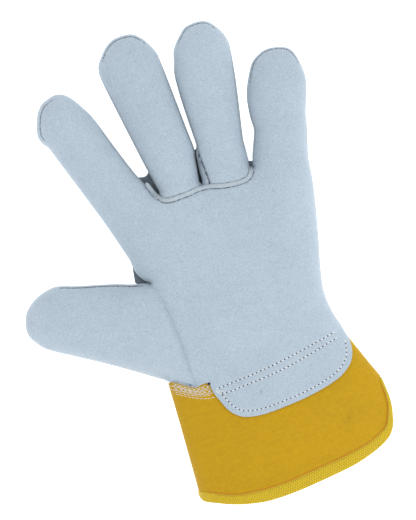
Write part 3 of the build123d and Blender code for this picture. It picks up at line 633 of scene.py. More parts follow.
# a much darker copy of the leather: painted shade in the forks between the fingers and at the thumb
m_fork_shaded = suede("fork_suede_shaded", (112, 124, 134), 0.9)
m_welt = suede("welt_suede", (189, 203, 213), 0.82)
m_strap = suede("strap_suede", (183, 199, 212))
m_cuff = canvas("rubberised_canvas", (203, 160, 21), 0.00095, 0.0013, contrast=0.18, sheen=0.0)
m_cuff_in = canvas("canvas_reverse", (206, 182, 104), 0.0011, 0.0011, 0.8, contrast=0.12)
m_drill = canvas("cotton_drill", (214, 206, 184), 0.0012, 0.0009, 0.88, 0.0002, 0.14, 0.2)
m_elastic = canvas("elastic_web", (222, 220, 212), 0.0009, 0.0021, 0.8, 0.0003, 0.16, 0.1)
m_tape = herringbone("herringbone_tape", (219, 188, 16))
m_tape_thread = yarn("tape_thread", (202, 166, 30))
m_lint = yarn("lint", (236, 196, 96))
m_thread = yarn("thread_white", (242, 247, 250))
# dark dots and dashes: painted shade in needle holes and along the fingertip seams
m_stitch_pit_shade = yarn("stitch_pit_shade", (46, 52, 58), 900.0, 0.95)
m_orange = yarn("thread_orange", (218, 132, 14))
m_fleck = yarn("black_fleck", (40, 38, 36), 900.0, 0.9)


# ------------------------------------------------------------------ cuff surface
CUFF_ROWS = np.array([
    (-122.0, -59.6, 66.6), (-118.0, -59.4, 66.6), (-104.0, -58.7, 66.4), (-98.0, -58.2, 66.0), (-88.8, -57.0, 65.3), (-80.0, -56.05, 64.9), (-74.0, -55.4, 64.3),
    (-64.0, -54.3, 61.0), (-55.0, -53.3, 58.2), (-46.0, -52.4, 55.5), (-38.0, -51.6, 53.6), (-30.0, -50.9, 52.0), (-20.0, -49.8, 50.8)])


def cuff_edges(y):
    return np.interp(y, CUFF_ROWS[:, 0], CUFF_ROWS[:, 1]), np.interp(y, CUFF_ROWS[:, 0], CUFF_ROWS[:, 2])


CUFF_IN = 1.35       # the cuff lies this far inside the leather's surface


def cuff_half(p):
    l, r = cuff_edges(p[:, 1])
    cx, a = 0.5 * (l + r), 0.5 * (r - l)
    b = tube(p[:, 1])[2] - CUFF_IN
    rad = np.clip(1 - ((p[:, 0] - cx) / a) ** 2, 0, 1)
    # a soft wave in the cloth, none at the folds
    wave = 0.45 * vnoise(p * np.array([1.0, 0.55]), 31.0, 11) + 0.16 * vnoise(p, 13.0, 12)
    return b * np.sqrt(rad), wave * np.clip(rad * 2.5, 0, 1)


def cuff_front(p):
    h, wv = cuff_half(p)
    t = sstep(-p[:, 1], 46, 70)
    return tube(p[:, 1])[3] + h + wv * t


def cuff_back(p):
    h, wv = cuff_half(p + np.array([0.0, 0.0]))
    z = tube(p[:, 1])[3] - h
    return z


def leather_front(p):
    z = front_z(p)
    near = p[:, 1] < -18
    if near.any():
        q = p[near]
        hem = np.vstack([c_them[::-1], c_patch[::-1]])
        zz = z[near]
        tgt = cuff_front(q) + 1.42
        d = seg_dist(q, hem)[0]
        w = 1 - sstep(d, 0.5, 11.0)
        rim = inflate(q)[1]
        w = w * sstep(rim, 0.0, 2.5) * sstep(q[:, 0], -56.0, -48.0)
        grooves = np.zeros(len(q))
        for line, depth, width in GROOVES[:2] + GROOVES[9:]:
            grooves -= min(depth, 0.7) * np.exp(-(seg_dist(q, line)[0] / width) ** 2)
        zz = zz * (1 - w) + (tgt + grooves) * w
        ease = sstep(rim, 0.0, 2.5)
        ease = np.where(q[:, 1] < -36.0, 1.0, ease)
        z[near] = zz + (np.maximum(zz, tgt - 0.05 + grooves * 0.9) - zz) * ease
    return z


def leather_back(p):
    z = back_z(p)
    near = p[:, 1] < -22
    if near.any():
        q = p[near]
        tgt = cuff_back(q) - 1.38
        w = sstep(-q[:, 1], 24, 33) * sstep(inflate(q)[1], 0.0, 2.5)
        z[near] = z[near] * (1 - w) + tgt * w
    return z


def fd_normal(zfun, p, sign):
    e = 0.35
    dx = (zfun(p + np.array([e, 0.0])) - zfun(p - np.array([e, 0.0]))) / (2 * e)
    dy = (zfun(p + np.array([0.0, e])) - zfun(p - np.array([0.0, e]))) / (2 * e)
    n = np.c_[-dx, -dy, np.ones(len(p))] * sign
    return n / np.linalg.norm(n, axis=1)[:, None]


def set_custom(ob, V, F, surf_count, face_kind, override):
    """Loop normals: smooth over the faces, own normals on edge walls, and given normals at chosen vertices."""
    me = ob.data
    k = surf_count
    top = F[face_kind == 0]
    vn = vertex_normals(V[:k], top)
    for i, n in override.items():
        vn[i] = n
    fn = np.cross(V[F[:, 1]] - V[F[:, 0]], V[F[:, 2]] - V[F[:, 0]])
    fn = fn / np.maximum(np.linalg.norm(fn, axis=1), 1e-12)[:, None]
    loops = []
    for f, kind, g in zip(F, face_kind, fn):
        if kind == 0:
            loops += [tuple(vn[i]) for i in f]
        elif kind == 1:
            loops += [tuple(-vn[i - k]) for i in f]
        else:
            loops += [tuple(g)] * 3
    if len(loops) == len(me.loops):
        me.normals_split_custom_set(loops)


def panel(name, poly, zfun, side, mats, thick=1.2, cut=None, grid=1.5, lines=(), rings=(0.12, 0.42, 0.9, 1.6, 2.6)):
    """One cut of leather: the outline filled, set on the surface, and given its thickness."""
    P, T = triangulate(poly, rings=rings, grid=grid, lines=lines)
    z = zfun(P)
    V = np.c_[P, z]
    if side < 0:
        T = T[:, ::-1]
    n = vertex_normals(V, T)
    over = {}
    if cut is not None and len(cut):
        d = seg_dist(P, cut)[0]
        ids = np.nonzero(d < 1e-3)[0]
        if len(ids):
            nn = fd_normal(zfun, P[ids], side)
            keep = inflate(P[ids])[1] > 0.6
            for i, v, kp in zip(ids, nn, keep):
                if kp:
                    over[int(i)] = v
                    n[i] = v
    VV, FF, sharp, kind = shell(V, T, thick, n)
    # painted shade along the listed lines, on the front leather only
    cr = painted_shade_at(P) if side > 0 else np.zeros(len(P))
    ob = new_mesh(name, VV, FF, mats, mat_index=np.where((kind == 1) & (len(mats) > 1), 1, 0), sharp=sharp, attrs={"shade_and_smudge": np.r_[cr, cr * 0]})
    set_custom(ob, VV, FF, len(V), kind, over)
    return ob


def near_index(curve, cond_fn, target_y):
    ids = [i for i in range(len(curve)) if cond_fn(curve[i])]
    return min(ids, key=lambda i: abs(curve[i][1] - target_y))


# where the leather of the hand hands over to each finger
i_ix = near_index(c_index, lambda q: q[0] < -45.5, 64.0)
i_lt = near_index(c_little, lambda q: q[0] > 66, 57.0)
i_wr = near_index(c_little, lambda q: q[1] < -20, -33.0)
cut_index = smooth([tuple(c_index[i_ix]), (-38.0, 64.4), (-26.0, 66.4), (-18.8, 68.9), (-15.2, 70.8)], 1.0)
base_middle = smooth([(-15.2, 70.8), (-14.0, 68.0), (-9.6, 66.2), (-4.4, 65.8), (4.6, 65.9), (8.4, 66.5), (10.0, 68.0)], 1.0)
base_ring = smooth([(10.0, 68.0), (12.6, 65.6), (20.6, 62.6), (28.7, 60.9), (33.8, 60.7), (36.8, 61.7), (38.9, 63.9), (40.0, 65.9)], 1.0)
cut_little = smooth([(40.0, 65.9), (43.0, 62.4), (48.0, 59.6), (58.0, 57.4), tuple(c_little[i_lt])], 1.0)
seam_tb = smooth([(-38.8, 26.0), (-38.2, 10.0), (-37.6, -10.0), (-37.0, -33.2)], 1.0)
hem_tb = smooth([(-37.0, -33.2), (-44.0, -32.6), (-50.9, -30.2)], 1.0)
hem_back = smooth([tuple(c_little[i_wr]), (30.0, -33.8), (0.0, -34.0), (-20.0, -33.8), (-37.0, -33.2)], 1.0)


# side strips between fingers: their half height along each facing side, and how far the leather stands back for them
def profile_c(p, nin):
    return np.maximum(inflate(p + nin * 0.8)[0] / math.sqrt(0.8), 1.0)


def facing(curve, i0, i1, half=4.0, lead=9.0, tail=16.0):
    """Band data for one facing side, from vertex i0 to i1 of a finger's outline."""
    c = curve[i0:i1 + 1]
    d = np.gradient(c, axis=0)
    d = d / np.linalg.norm(d, axis=1)[:, None]
    nin = np.c_[-d[:, 1], d[:, 0]] * (1 if area > 0 else -1)
    s = np.r_[0, np.cumsum(np.linalg.norm(np.diff(c, axis=0), axis=1))]
    L = s[-1]
    hb = half * sstep(s, 0, lead) * (1 - sstep(s, L - tail, L))
    cc = profile_c(c, nin)
    return c, nin, hb, cc


def span(curve, y_low, y_high, side):
    """Vertex range of one side of a finger: side -1 is its left edge."""
    tip = int(np.argmax(curve[:, 1]))
    ids = range(0, tip) if side < 0 else range(tip, len(curve))
    ids = [i for i in ids if y_low <= curve[i][1] <= y_high]
    return ids[0], ids[-1]


def set_back(curve, i0, i1, lead, tail):
    c, nin, hb, cc = facing(curve, i0, i1, lead=lead, tail=tail)
    out = curve.copy()
    out[i0:i1 + 1] = c + nin * ((hb / cc) ** 2)[:, None]
    return out


sides = {
    "index_fourchette": ("index", c_index, span(c_index, 70.0, 130.0, 1), 16.0, 9.0),
    "middle_fourchette_index_side": ("middle", c_middle, span(c_middle, 70.0, 150.0, -1), 9.0, 16.0),
    "middle_fourchette_ring_side": ("middle", c_middle, span(c_middle, 70.0, 148.0, 1), 16.0, 9.0),
    "ring_fourchette_middle_side": ("ring", c_ring, span(c_ring, 70.0, 142.0, -1), 9.0, 16.0),
    "ring_fourchette_little_side": ("ring", c_ring, span(c_ring, 70.0, 138.0, 1), 16.0, 9.0),
    "little_fourchette": ("little", c_little, span(c_little, 71.0, 110.0, -1), 9.0, 16.0),
}
shaped = {"index": c_index.copy(), "middle": c_middle.copy(), "ring": c_ring.copy(), "little": c_little.copy()}
for key, (f, curve, (i0, i1), lead, tail) in sides.items():
    b = set_back(curve, i0, i1, lead, tail)
    shaped[f][i0:i1 + 1] = b[i0:i1 + 1]


def bend(ob):
    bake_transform(ob)




def offset_line(path, by):
    c = smooth(path, 0.8)
    d = np.gradient(c, axis=0)
    d = d / np.linalg.norm(d, axis=1)[:, None]
    return c + np.c_[-d[:, 1], d[:, 0]] * by


leather2 = [m_leather, m_leather_in]
welt_low = offset_line(WELT, -1.42)
welt_high = offset_line(WELT, 1.4)
arm_left = offset_line(WELT_ARM, -1.5)
arm_right = offset_line(WELT_ARM, 1.5)
# painted shade along welt edges, seams, rim grooves and the thumb hem, with one short dark line on the patch: line,
# strength, width
PAINTED_SHADE_LINES = [(welt_low, 1.0, 0.34), (welt_high, 0.62, 0.30), (arm_left, 0.9, 0.36), (arm_right, 0.5, 0.3),
           (smooth(RING_SEAM, 0.8), 1.25, 0.42), (c_tseam, 0.10, 1.0), (np.array([(-1.6, -51.2), (-4.2, -58.6)]), 0.26, 0.3), (rim_index, 0.55, 0.3), (rim_middle, 0.6, 0.3),
           (rim_ring, 0.6, 0.3), (rim_little, 0.55, 0.3), (rim_thumb, 0.75, 0.36),
           (smooth([(-47.2, -31.4), (-44.3, -33.3), (-41.2, -35.7), (-37.4, -38.0)], 1.0), 0.46, 0.9),
           (np.array([(-40.0, -36.3), (-37.2, -38.2)]), 0.95, 0.5)]


SHADED_STRIP = np.array([(10.8, 71.0), (14.6, 71.0), (14.7, 78.0), (15.0, 84.0), (15.6, 90.4), (14.2, 88.6), (12.0, 84.0), (10.8, 78.0)])


# painted shade strength at pattern points: along the listed lines, and over the ring's fourchette strip, darker
# towards its top
def painted_shade_at(p):
    out = np.zeros(len(p))
    for line, k, w in PAINTED_SHADE_LINES:
        box = ((p[:, 0] > line[:, 0].min() - 3) & (p[:, 0] < line[:, 0].max() + 3) & (p[:, 1] > line[:, 1].min() - 3) & (p[:, 1] < line[:, 1].max() + 3))
        if box.any():
            out[box] = np.maximum(out[box], k * np.exp(-(seg_dist(p[box], line)[0] / w) ** 2))
    strip_in = inside(p, SHADED_STRIP)
    out[strip_in] = np.maximum(out[strip_in], 0.12 + 0.62 * sstep(p[strip_in, 1], 72.0, 84.0))
    return out


inner_lines_palm = [welt_low, smooth(ROW_1, 1.0), smooth(ROW_2, 1.0), smooth(ROW_EDGE, 1.0)]

# palm, with the patch over the cuff
poly = np.vstack([c_tseam[::-1][:-1], c_index[:i_ix], cut_index[:-1], base_middle[:-1], base_ring[:-1], cut_little[:-1], c_little[i_lt:-1], c_patch[:-1]])
palm = panel("palm_leather", poly, leather_front, 1, leather2, cut=np.vstack([cut_index]), lines=inner_lines_palm)
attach(palm, "hand"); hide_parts("palm_panel")


def finger_panels(name, front_poly, back_poly, cut, lines, front_nodes, back_nodes, cut_front=True):
    f = panel(name + "_front_leather", front_poly, leather_front, 1, leather2, cut=cut if cut_front else None, lines=lines)
    bend(f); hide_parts(*front_nodes)
    b = panel(name + "_back_leather", back_poly, leather_back, -1, leather2, cut=cut, grid=1.8)
    bend(b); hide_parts(*back_nodes)
    return f, b


s_ix, s_md, s_rg, s_lt = shaped["index"], shaped["middle"], shaped["ring"], shaped["little"]
poly_ix = np.vstack([s_ix[i_ix:-1], cut_index[::-1][:-1]])
finger_panels("index", poly_ix, poly_ix, cut_index, [rim_index], ["index_front"], ["index_back"])
poly_md = np.vstack([s_md[:-1], base_middle[::-1][:-1]])
finger_panels("middle", poly_md, poly_md, base_middle, [rim_middle, welt_high], ["middle_front"], ["middle_back"], False)
poly_rg = np.vstack([s_rg[:-1], base_ring[::-1][:-1]])
finger_panels("ring", poly_rg, poly_rg, base_ring, [rim_ring, smooth(RING_SEAM, 0.8), np.array([(12.2, 73.0), (13.0, 78.0), (13.9, 84.0), (14.8, 88.4)]), welt_high], ["ring_front"], ["ring_back"], False)
poly_lt = np.vstack([s_lt[:i_lt], cut_little[::-1][:-1]])
finger_panels("little", poly_lt, poly_lt, cut_little, [rim_little], ["little_front"], ["little_back"])

poly = np.vstack([c_thumb[:-1], c_tseam[:-1], c_them[:-1]])
tf = panel("thumb_front_leather", poly, leather_front, 1, leather2, lines=[rim_thumb])
bend(tf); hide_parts("thumb_front")
poly = np.vstack([c_thumb[:-1], seam_tb[:-1], hem_tb[:-1]])
tb = panel("thumb_back_leather", poly, leather_back, -1, leather2, grid=1.8)
bend(tb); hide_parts("thumb_back")

# back of the hand
poly = np.vstack([seam_tb[::-1][:-1], c_index[:i_ix], cut_index[:-1], base_middle[:-1], base_ring[:-1], cut_little[:-1], c_little[i_lt:i_wr], hem_back[:-1]])
bk = panel("back_leather", poly, leather_back, -1, leather2, cut=np.vstack([cut_index, base_middle, base_ring, cut_little]), grid=1.6)
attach(bk, "hand"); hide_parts("back_panel")

# knuckle strap over the back
i_s0 = near_index(c_index, lambda q: q[0] < -43, 31.0)
i_s1 = near_index(c_index, lambda q: q[0] < -43, 56.0)
j_s1 = near_index(c_little, lambda q: q[0] > 60, 56.0)
j_s0 = near_index(c_little, lambda q: q[0] > 60 and q[1] < 50, 31.0)
in_ix = inset(c_index, 0.7)
in_lt = inset(c_little, 0.7)
top = smooth([tuple(in_ix[i_s1]), (-30.0, 57.0), (10.0, 56.4), (52.0, 56.4), tuple(in_lt[j_s1])], 1.0)
low = smooth([tuple(in_lt[j_s0]), (50.0, 30.2), (10.0, 29.8), (-26.0, 30.2), tuple(in_ix[i_s0])], 1.0)
strap_poly = np.vstack([in_ix[i_s0:i_s1], top[:-1], in_lt[j_s1:j_s0], low[:-1]])


def strap_z(p):
    d = seg_dist(p, strap_poly, True)[0]
    return leather_back(p) - 1.28 * (0.72 + 0.28 * np.clip(d / 0.8, 0, 1))


st = panel("knuckle_strap_leather", strap_poly, strap_z, -1, [m_strap, m_leather_in], thick=1.15, grid=2.0, rings=(0.25, 0.8, 1.6))
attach(st, "hand"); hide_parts("knuckle_strap")

# side strips
for key, (f, curve, (i0, i1), lead, tail) in sides.items():
    c, nin, hb, cc = facing(curve, i0, i1, lead=lead, tail=tail)
    rows = 9
    V = []
    zc = mid(c)
    for r in range(rows):
        t = -1 + 2 * r / (rows - 1)
        zo = hb * t
        d = (zo / cc) ** 2
        q = c + nin * (d - 0.12)[:, None]
        V.append(np.c_[q, zc + zo])
    V = np.vstack(V)
    n = len(c)
    F = []
    for r in range(rows - 1):
        for i in range(n - 1):
            a0, a1, b0, b1 = r * n + i, r * n + i + 1, (r + 1) * n + i, (r + 1) * n + i + 1
            F += [(a0, a1, b1), (a0, b1, b0)]
    F = np.array(F)
    nv = vertex_normals(V, F)
    if (nv[:, :2] * np.tile(nin, (rows, 1))).sum() > 0:
        F = F[:, ::-1]
    VV, FF, sharp, kind = shell(V, F, 1.0)
    # the side strips take the darker suede: painted shade
    ob = new_mesh(key + "_leather", VV, FF, [m_gusset_shaded, m_leather_in], mat_index=np.where(kind == 1, 1, 0), sharp=sharp)
    bend(ob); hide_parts(key)


# crotch gussets: soft saddles in the forks between fingers, in suede painted darker as shade
def gusset(name, poly, drop):
    P, T = triangulate(smooth(poly + [poly[0]], 0.8)[:-1], rings=(0.3,), grid=1.2)
    zc = mid(P)
    d = seg_dist(P, smooth(poly + [poly[0]], 0.8), False)[0]
    V = np.c_[P, zc - drop - 0.5 * np.clip(d, 0, 2.5) + 0.42 * vnoise(P, 2.3, 21)]
    VV, FF, sharp, kind = shell(V, T, 1.1)
    ob = new_mesh(name, VV, FF, [m_fork_shaded, m_leather_in], mat_index=np.where(kind == 1, 1, 0), sharp=sharp)
    bend(ob)
    return ob


g1 = gusset("gusset_index_middle", [(-23.2, 85.4), (-22.2, 84.4), (-19.6, 83.6), (-17.4, 84.0), (-15.6, 85.5), (-14.2, 86.6), (-13.2, 78.0), (-13.2, 72.6), (-15.4, 69.6), (-18.2, 71.4), (-21.8, 79.0)], 0.6)
g2 = gusset("gusset_middle_ring", [(12.2, 88.4), (14.0, 87.3), (16.2, 88.6), (15.0, 82.0), (13.6, 76.0), (12.4, 70.0), (10.2, 66.8), (8.2, 68.6), (8.8, 74.0), (10.6, 81.0)], 3.0)
g3 = gusset("gusset_ring_little", [(38.6, 70.4), (39.9, 69.6), (41.9, 68.9), (43.4, 69.6), (42.6, 66.8), (40.4, 64.6), (38.4, 66.4)], -2.2)
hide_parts("crotch_gussets")
gp = smooth([(-44.7, 39.4), (-45.6, 35.6), (-46.4, 32.0), (-46.8, 29.6), (-44.0, 27.0), (-38.9, 25.4), (-40.0, 28.4), (-42.6, 32.4), (-43.6, 36.6), (-44.7, 39.4)], 0.7)[:-1]
P, T = triangulate(gp, rings=(0.3,), grid=1.2)
V = np.c_[P, mid(P) - 0.9 + 0.08 * vnoise(P, 3.0, 22)]
VV, FF, sharp, kind = shell(V, T, 1.2)
g4 = new_mesh("gusset_thumb", VV, FF, [m_fork_shaded, m_leather_in], mat_index=np.where(kind == 1, 1, 0), sharp=sharp)
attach(g4, "hand")


# ------------------------------------------------------------------ strips, welts, threads
def strip(name, path, half, height, zfun, mat, sink=0.35, taper=2.5, step=0.8, round_ends=True):
    """A leather strip laid along a path on the surface, with a rounded top."""
    c = smooth(path, step)
    d = np.gradient(c, axis=0)
    d = d / np.linalg.norm(d, axis=1)[:, None]
    m = np.c_[-d[:, 1], d[:, 0]]
    s = np.r_[0, np.cumsum(np.linalg.norm(np.diff(c, axis=0), axis=1))]
    L = s[-1]
    e = np.minimum(s, L - s)
    wd = half * (np.sqrt(np.clip(1 - (1 - np.clip(e / taper, 0, 1)) ** 2, 0.02, 1)) if round_ends else np.ones(len(s)))
    prof = [(-1.0, -sink), (-0.96, 0.30), (-0.78, 0.74), (-0.4, 0.96), (0.0, 1.0), (0.4, 0.96), (0.78, 0.74), (0.96, 0.30), (1.0, -sink)]
    base = zfun(c)
    V = []
    for t, hgt in prof:
        q = c + m * (wd * t)[:, None]
        zz = zfun(q)
        zz = np.where(hgt < 0, np.minimum(zz, base + 1.0) - sink, base * 0.55 + zz * 0.45 + height * hgt)
        V.append(np.c_[q, zz])
    V = np.vstack(V)
    n, k = len(c), len(prof)
    F = []
    for r in range(k):
        r2 = (r + 1) % k
        for i in range(n - 1):
            a0, a1, b0, b1 = r * n + i, r * n + i + 1, r2 * n + i, r2 * n + i + 1
            F += [(a0, b1, a1), (a0, b0, b1)]
    for i, sgn in ((0, 1), (n - 1, -1)):
        ring = [r * n + i for r in range(k)]
        for r in range(1, k - 1):
            F.append((ring[0], ring[r + 1], ring[r]) if sgn > 0 else (ring[0], ring[r], ring[r + 1]))
    F = np.array(F)
    mid_top = V[4 * n:5 * n]
    nv = vertex_normals(V, F)[4 * n:5 * n, 2].mean()
    if nv < 0:
        F = F[:, ::-1]
    ob = new_mesh(name, V, F, [mat])
    return ob


def welt_base(p):
    return leather_front(p)


w1 = strip("palm_seam_welt_leather", WELT, 1.28, 0.95, welt_base, m_welt)
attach(w1, "hand"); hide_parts("palm_seam_welt")
w2 = strip("palm_seam_welt_arm", WELT_ARM, 1.35, 1.5, lambda p: np.maximum(leather_front(p), 16.5 + 0 * p[:, 0]), m_welt)
bend(w2)
w3 = strip("thumb_seam_cord", [tuple(q) for q in c_tseam[3:-3:6]], 0.32, 0.06, lambda p: leather_front(p), m_welt, sink=0.3)
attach(w3, "hand"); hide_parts("thumb_seam_welt")


def capsule(a, b, r, up, flat=0.75, rings=5, segs=7):
    """A short run of thread from a to b, slightly sunk at both ends."""
    a, b = np.array(a, float), np.array(b, float)
    t = b - a
    L = np.linalg.norm(t)
    t = t / L
    u_ = np.array(up, float)
    u_ = u_ - t * (u_ @ t)
    u_ = u_ / np.linalg.norm(u_)
    s_ = np.cross(t, u_)
    V = [a - u_ * r * 0.9]
    for i in range(rings):
        f = (i + 0.5) / rings
        rr = r * math.sqrt(max(1 - (2 * f - 1) ** 4, 0.05))
        lift = -0.9 * r * (2 * f - 1) ** 2
        cpt = a + t * (L * f) + u_ * lift
        for k in range(segs):
            g = 2 * math.pi * k / segs
            V.append(cpt + (s_ * math.cos(g) + u_ * flat * math.sin(g)) * rr)
    V.append(b - u_ * r * 0.9)
    F = []
    for k in range(segs):
        F.append((0, 1 + (k + 1) % segs, 1 + k))
    for i in range(rings - 1):
        for k in range(segs):
            p0, p1 = 1 + i * segs + k, 1 + i * segs + (k + 1) % segs
            q0, q1 = p0 + segs, p1 + segs
            F += [(p0, p1, q1), (p0, q1, q0)]
    e = len(V) - 1
    for k in range(segs):
        F.append((e, 1 + (rings - 1) * segs + k, 1 + (rings - 1) * segs + (k + 1) % segs))
    return np.array(V), np.array(F)


def dot(c, n, r, h, segs=8):
    n = np.array(n) / np.linalg.norm(n)
    a = np.cross(n, [0.3, 1, 0.2]); a = a / np.linalg.norm(a)
    b = np.cross(n, a)
    V = [np.array(c) + n * h]
    for f, z in ((0.7, h * 0.8), (1.0, -0.15)):
        for k in range(segs):
            g = 2 * math.pi * k / segs
            V.append(np.array(c) + (a * math.cos(g) + b * math.sin(g)) * r * f + n * z)
    F = []
    for k in range(segs):
        k2 = (k + 1) % segs
        F.append((0, 1 + k, 1 + k2))
        F += [(1 + k, 1 + segs + k, 1 + segs + k2), (1 + k, 1 + segs + k2, 1 + k2)]
    F.append(tuple(1 + segs + k for k in range(segs))[::-1])
    return np.array(V), F


def run_of_stitches(name, paths, zfun, pitch, length, r, sign=1, mat=None, holes=True, lift=0.1, jitter=0.05):
    """A seam row: a run of thread, a needle hole, a run of thread."""
    VV, FF, MI = [], [], []
    off = 0
    rnd = random.Random(len(name) * 13 + 5)
    for path in paths:
        c = smooth(path, 0.25)
        s = np.r_[0, np.cumsum(np.linalg.norm(np.diff(c, axis=0), axis=1))]
        k = int(s[-1] / pitch)
        for i in range(k):
            s0 = (i + 0.5) * pitch - length / 2 + rnd.uniform(-jitter, jitter)
            q = np.array([[np.interp(x, s, c[:, 0]), np.interp(x, s, c[:, 1])] for x in (s0, s0 + length, s0 + length / 2, s0 + length / 2 + pitch / 2)])
            z = zfun(q)
            n = fd_normal(zfun, q, sign)
            P3 = np.c_[q, z]
            V, F = capsule(P3[0] + n[0] * lift, P3[1] + n[1] * lift, r, n[2])
            VV.append(V); FF += [tuple(int(j) + off for j in f) for f in F]; MI += [0] * len(F)
            off += len(V)
            # the needle hole: a dark disc just above the surface, painted shade of the hole
            if holes and i < k - 1:
                V, F = dot(P3[3], n[3], 0.60, 0.07)
                VV.append(V); FF += [tuple(int(j) + off for j in f) for f in F]; MI += [1] * len(F)
                off += len(V)
    ob = new_mesh(name, np.vstack(VV), FF, [mat or m_thread, m_stitch_pit_shade], mat_index=MI)
    return ob


o = run_of_stitches("patch_row_threads", [ROW_1, ROW_2], leather_front, 2.55, 1.75, 0.33)
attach(o, "hand"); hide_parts("patch_row_stitching")
o = run_of_stitches("patch_edge_threads", [ROW_EDGE], leather_front, 2.55, 1.75, 0.33)
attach(o, "hand"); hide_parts("patch_edge_stitching")
o = run_of_stitches("patch_lock_threads", [[(-27.2, -44.6), (-26.4, -46.0), (-24.6, -47.6)], [(-26.0, -45.2), (-22.2, -47.4)], [(-27.4, -45.6), (-24.0, -46.2)]], leather_front, 1.35, 1.05, 0.3, holes=False)
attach(o, "hand")
strap_rows = [[(-42.0, 33.4), (-20.0, 32.6), (10.0, 32.4), (45.0, 32.6), (62.5, 33.4)], [(-43.0, 53.2), (-20.0, 53.8), (10.0, 53.6), (45.0, 53.8), (68.0, 53.4)]]
o = run_of_stitches("strap_threads", strap_rows, strap_z, 2.9, 2.1, 0.27, sign=-1)
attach(o, "hand"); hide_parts("strap_stitching")
o = run_of_stitches("back_hem_threads", [[(-45.0, -30.4), (-30.0, -31.6), (0.0, -32.0), (30.0, -31.8), (50.0, -31.2)]], leather_back, 2.7, 1.9, 0.25, sign=-1)
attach(o, "hand")
o = run_of_stitches("elastic_threads", [[(-34.0, -19.0), (0.0, -19.2), (44.0, -19.0)], [(-34.0, -25.2), (0.0, -25.4), (44.0, -25.2)]], leather_back, 2.4, 1.6, 0.22, sign=-1)
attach(o, "hand")
# the fingertip seams as dark dashes in the hole colour: painted shade in the rim grooves
for f, line, fn in (("index", rim_index, "index"), ("middle", rim_middle, "middle"), ("ring", rim_ring, "ring"), ("little", rim_little, "little"), ("thumb", rim_thumb, "thumb")):
    o = run_of_stitches("rim_threads_" + f, [[tuple(q) for q in line[1:-1:3]]], leather_front, 3.2, 1.7, 0.16, holes=True, mat=m_stitch_pit_shade, lift=0.02)
    bend(o)


# ------------------------------------------------------------------ cuff
def weld(Va, Fa, Vb, Fb, pairs):
    """Joins two surfaces along matching vertices."""
    k = len(Va)
    remap = np.arange(len(Vb)) + k
    for ia, ib in pairs:
        remap[ib] = ia
    V = np.vstack([Va, Vb])
    F = np.vstack([Fa, remap[Fb]])
    used = np.unique(F)
    m = -np.ones(len(V), int)
    m[used] = np.arange(len(used))
    return V[used], m[F]


fold_left = smooth([(-58.2, -98.0), (-57.0, -88.8), (-56.05, -80.0), (-55.4, -74.0), (-54.3, -64.0), (-53.3, -55.0), (-52.4, -46.0), (-51.6, -38.0), (-50.95, -31.0)], 1.0)
corner_left = smooth([(-52.7, -104.4), (-56.2, -102.4), (-57.8, -100.2), (-58.2, -98.0)], 0.8)
hem_curve = smooth([(61.4, -99.2), (59.1, -103.2), (56.1, -106.5), (52.1, -108.8), (46.4, -110.9), (38.4, -112.9), (31.0, -114.2), (19.5, -115.1), (-3.1, -116.0),
    (-15.2, -115.7), (-23.5, -114.9), (-30.3, -113.4), (-37.0, -111.4), (-43.9, -108.7), (-52.7, -104.4)], 1.0)
slit_right = smooth([(64.55, -73.6), (64.7, -79.0), (64.7, -85.0), (64.3, -88.7), (63.7, -92.1), (61.4, -99.2)], 1.0)
fold_right = smooth([(51.7, -31.0), (53.4, -38.0), (55.3, -46.0), (58.0, -55.0), (60.8, -64.0), (64.3, -73.6)], 1.0)
cuff_top = smooth([(-50.95, -31.0), (-36.0, -30.0), (-10.0, -29.5), (20.0, -29.5), (40.0, -30.0), (51.7, -31.0)], 1.5)


def on_fold(curve, side):
    l, r = cuff_edges(curve[:, 1])
    out = curve.copy()
    out[:, 0] = l if side < 0 else r
    return out


fold_left = on_fold(fold_left, -1)
fold_right = on_fold(fold_right, 1)
hem_edge = np.vstack([slit_right[:-1], hem_curve[:-1], corner_left])
hd = np.gradient(hem_edge, axis=0)
hd = hd / np.linalg.norm(hd, axis=1)[:, None]
hs = np.linspace(0, 1, len(hem_edge))
hem_edge = hem_edge + np.c_[hd[:, 1], -hd[:, 0]] * (0.85 * (1 - sstep(hs, 0.95, 1.0)) + 0.35 * (1 - sstep(hs, 0.12, 0.2)))[:, None]
hem_edge[-1] = fold_left[0]
cuff_poly = np.vstack([hem_edge[:-1], fold_left[:-1], np.vstack([fold_left[-1:], cuff_top[1:-1], fold_right[:1]])[:-1], fold_right[:-1]])
cuff_poly[0] = hem_edge[0]


def cuff_surface(off, top_cut, grid=2.0):
    """The cuff cloth as one surface, front and back joined at both folds."""
    P, T = triangulate(cuff_poly, rings=(0.10, 0.35, 0.8, 1.5, 2.6), grid=grid)
    zf, zb = cuff_front(P), cuff_back(P)
    Vf, Vb = np.c_[P, zf], np.c_[P, zb]
    dl = seg_dist(P, fold_left)[0]
    dr = seg_dist(P, fold_right)[0]
    on = np.nonzero((dl < 1e-3) | (dr < 1e-3))[0]
    zt = tube(P[on, 1])[3]
    Vf[on, 2] = zt
    Vb[on, 2] = zt
    return weld(Vf, T, Vb, T[:, ::-1], [(i, i) for i in on])


V, F = cuff_surface(0, None)
nv = vertex_normals(V, F)
VV, FF, sharp, kind = shell(V, F, 1.0, nv)
half_n = len(VV) // 2
front_face = (VV[:, 2] > tube(VV[:, 1])[3]) & (np.arange(len(VV)) < half_n)
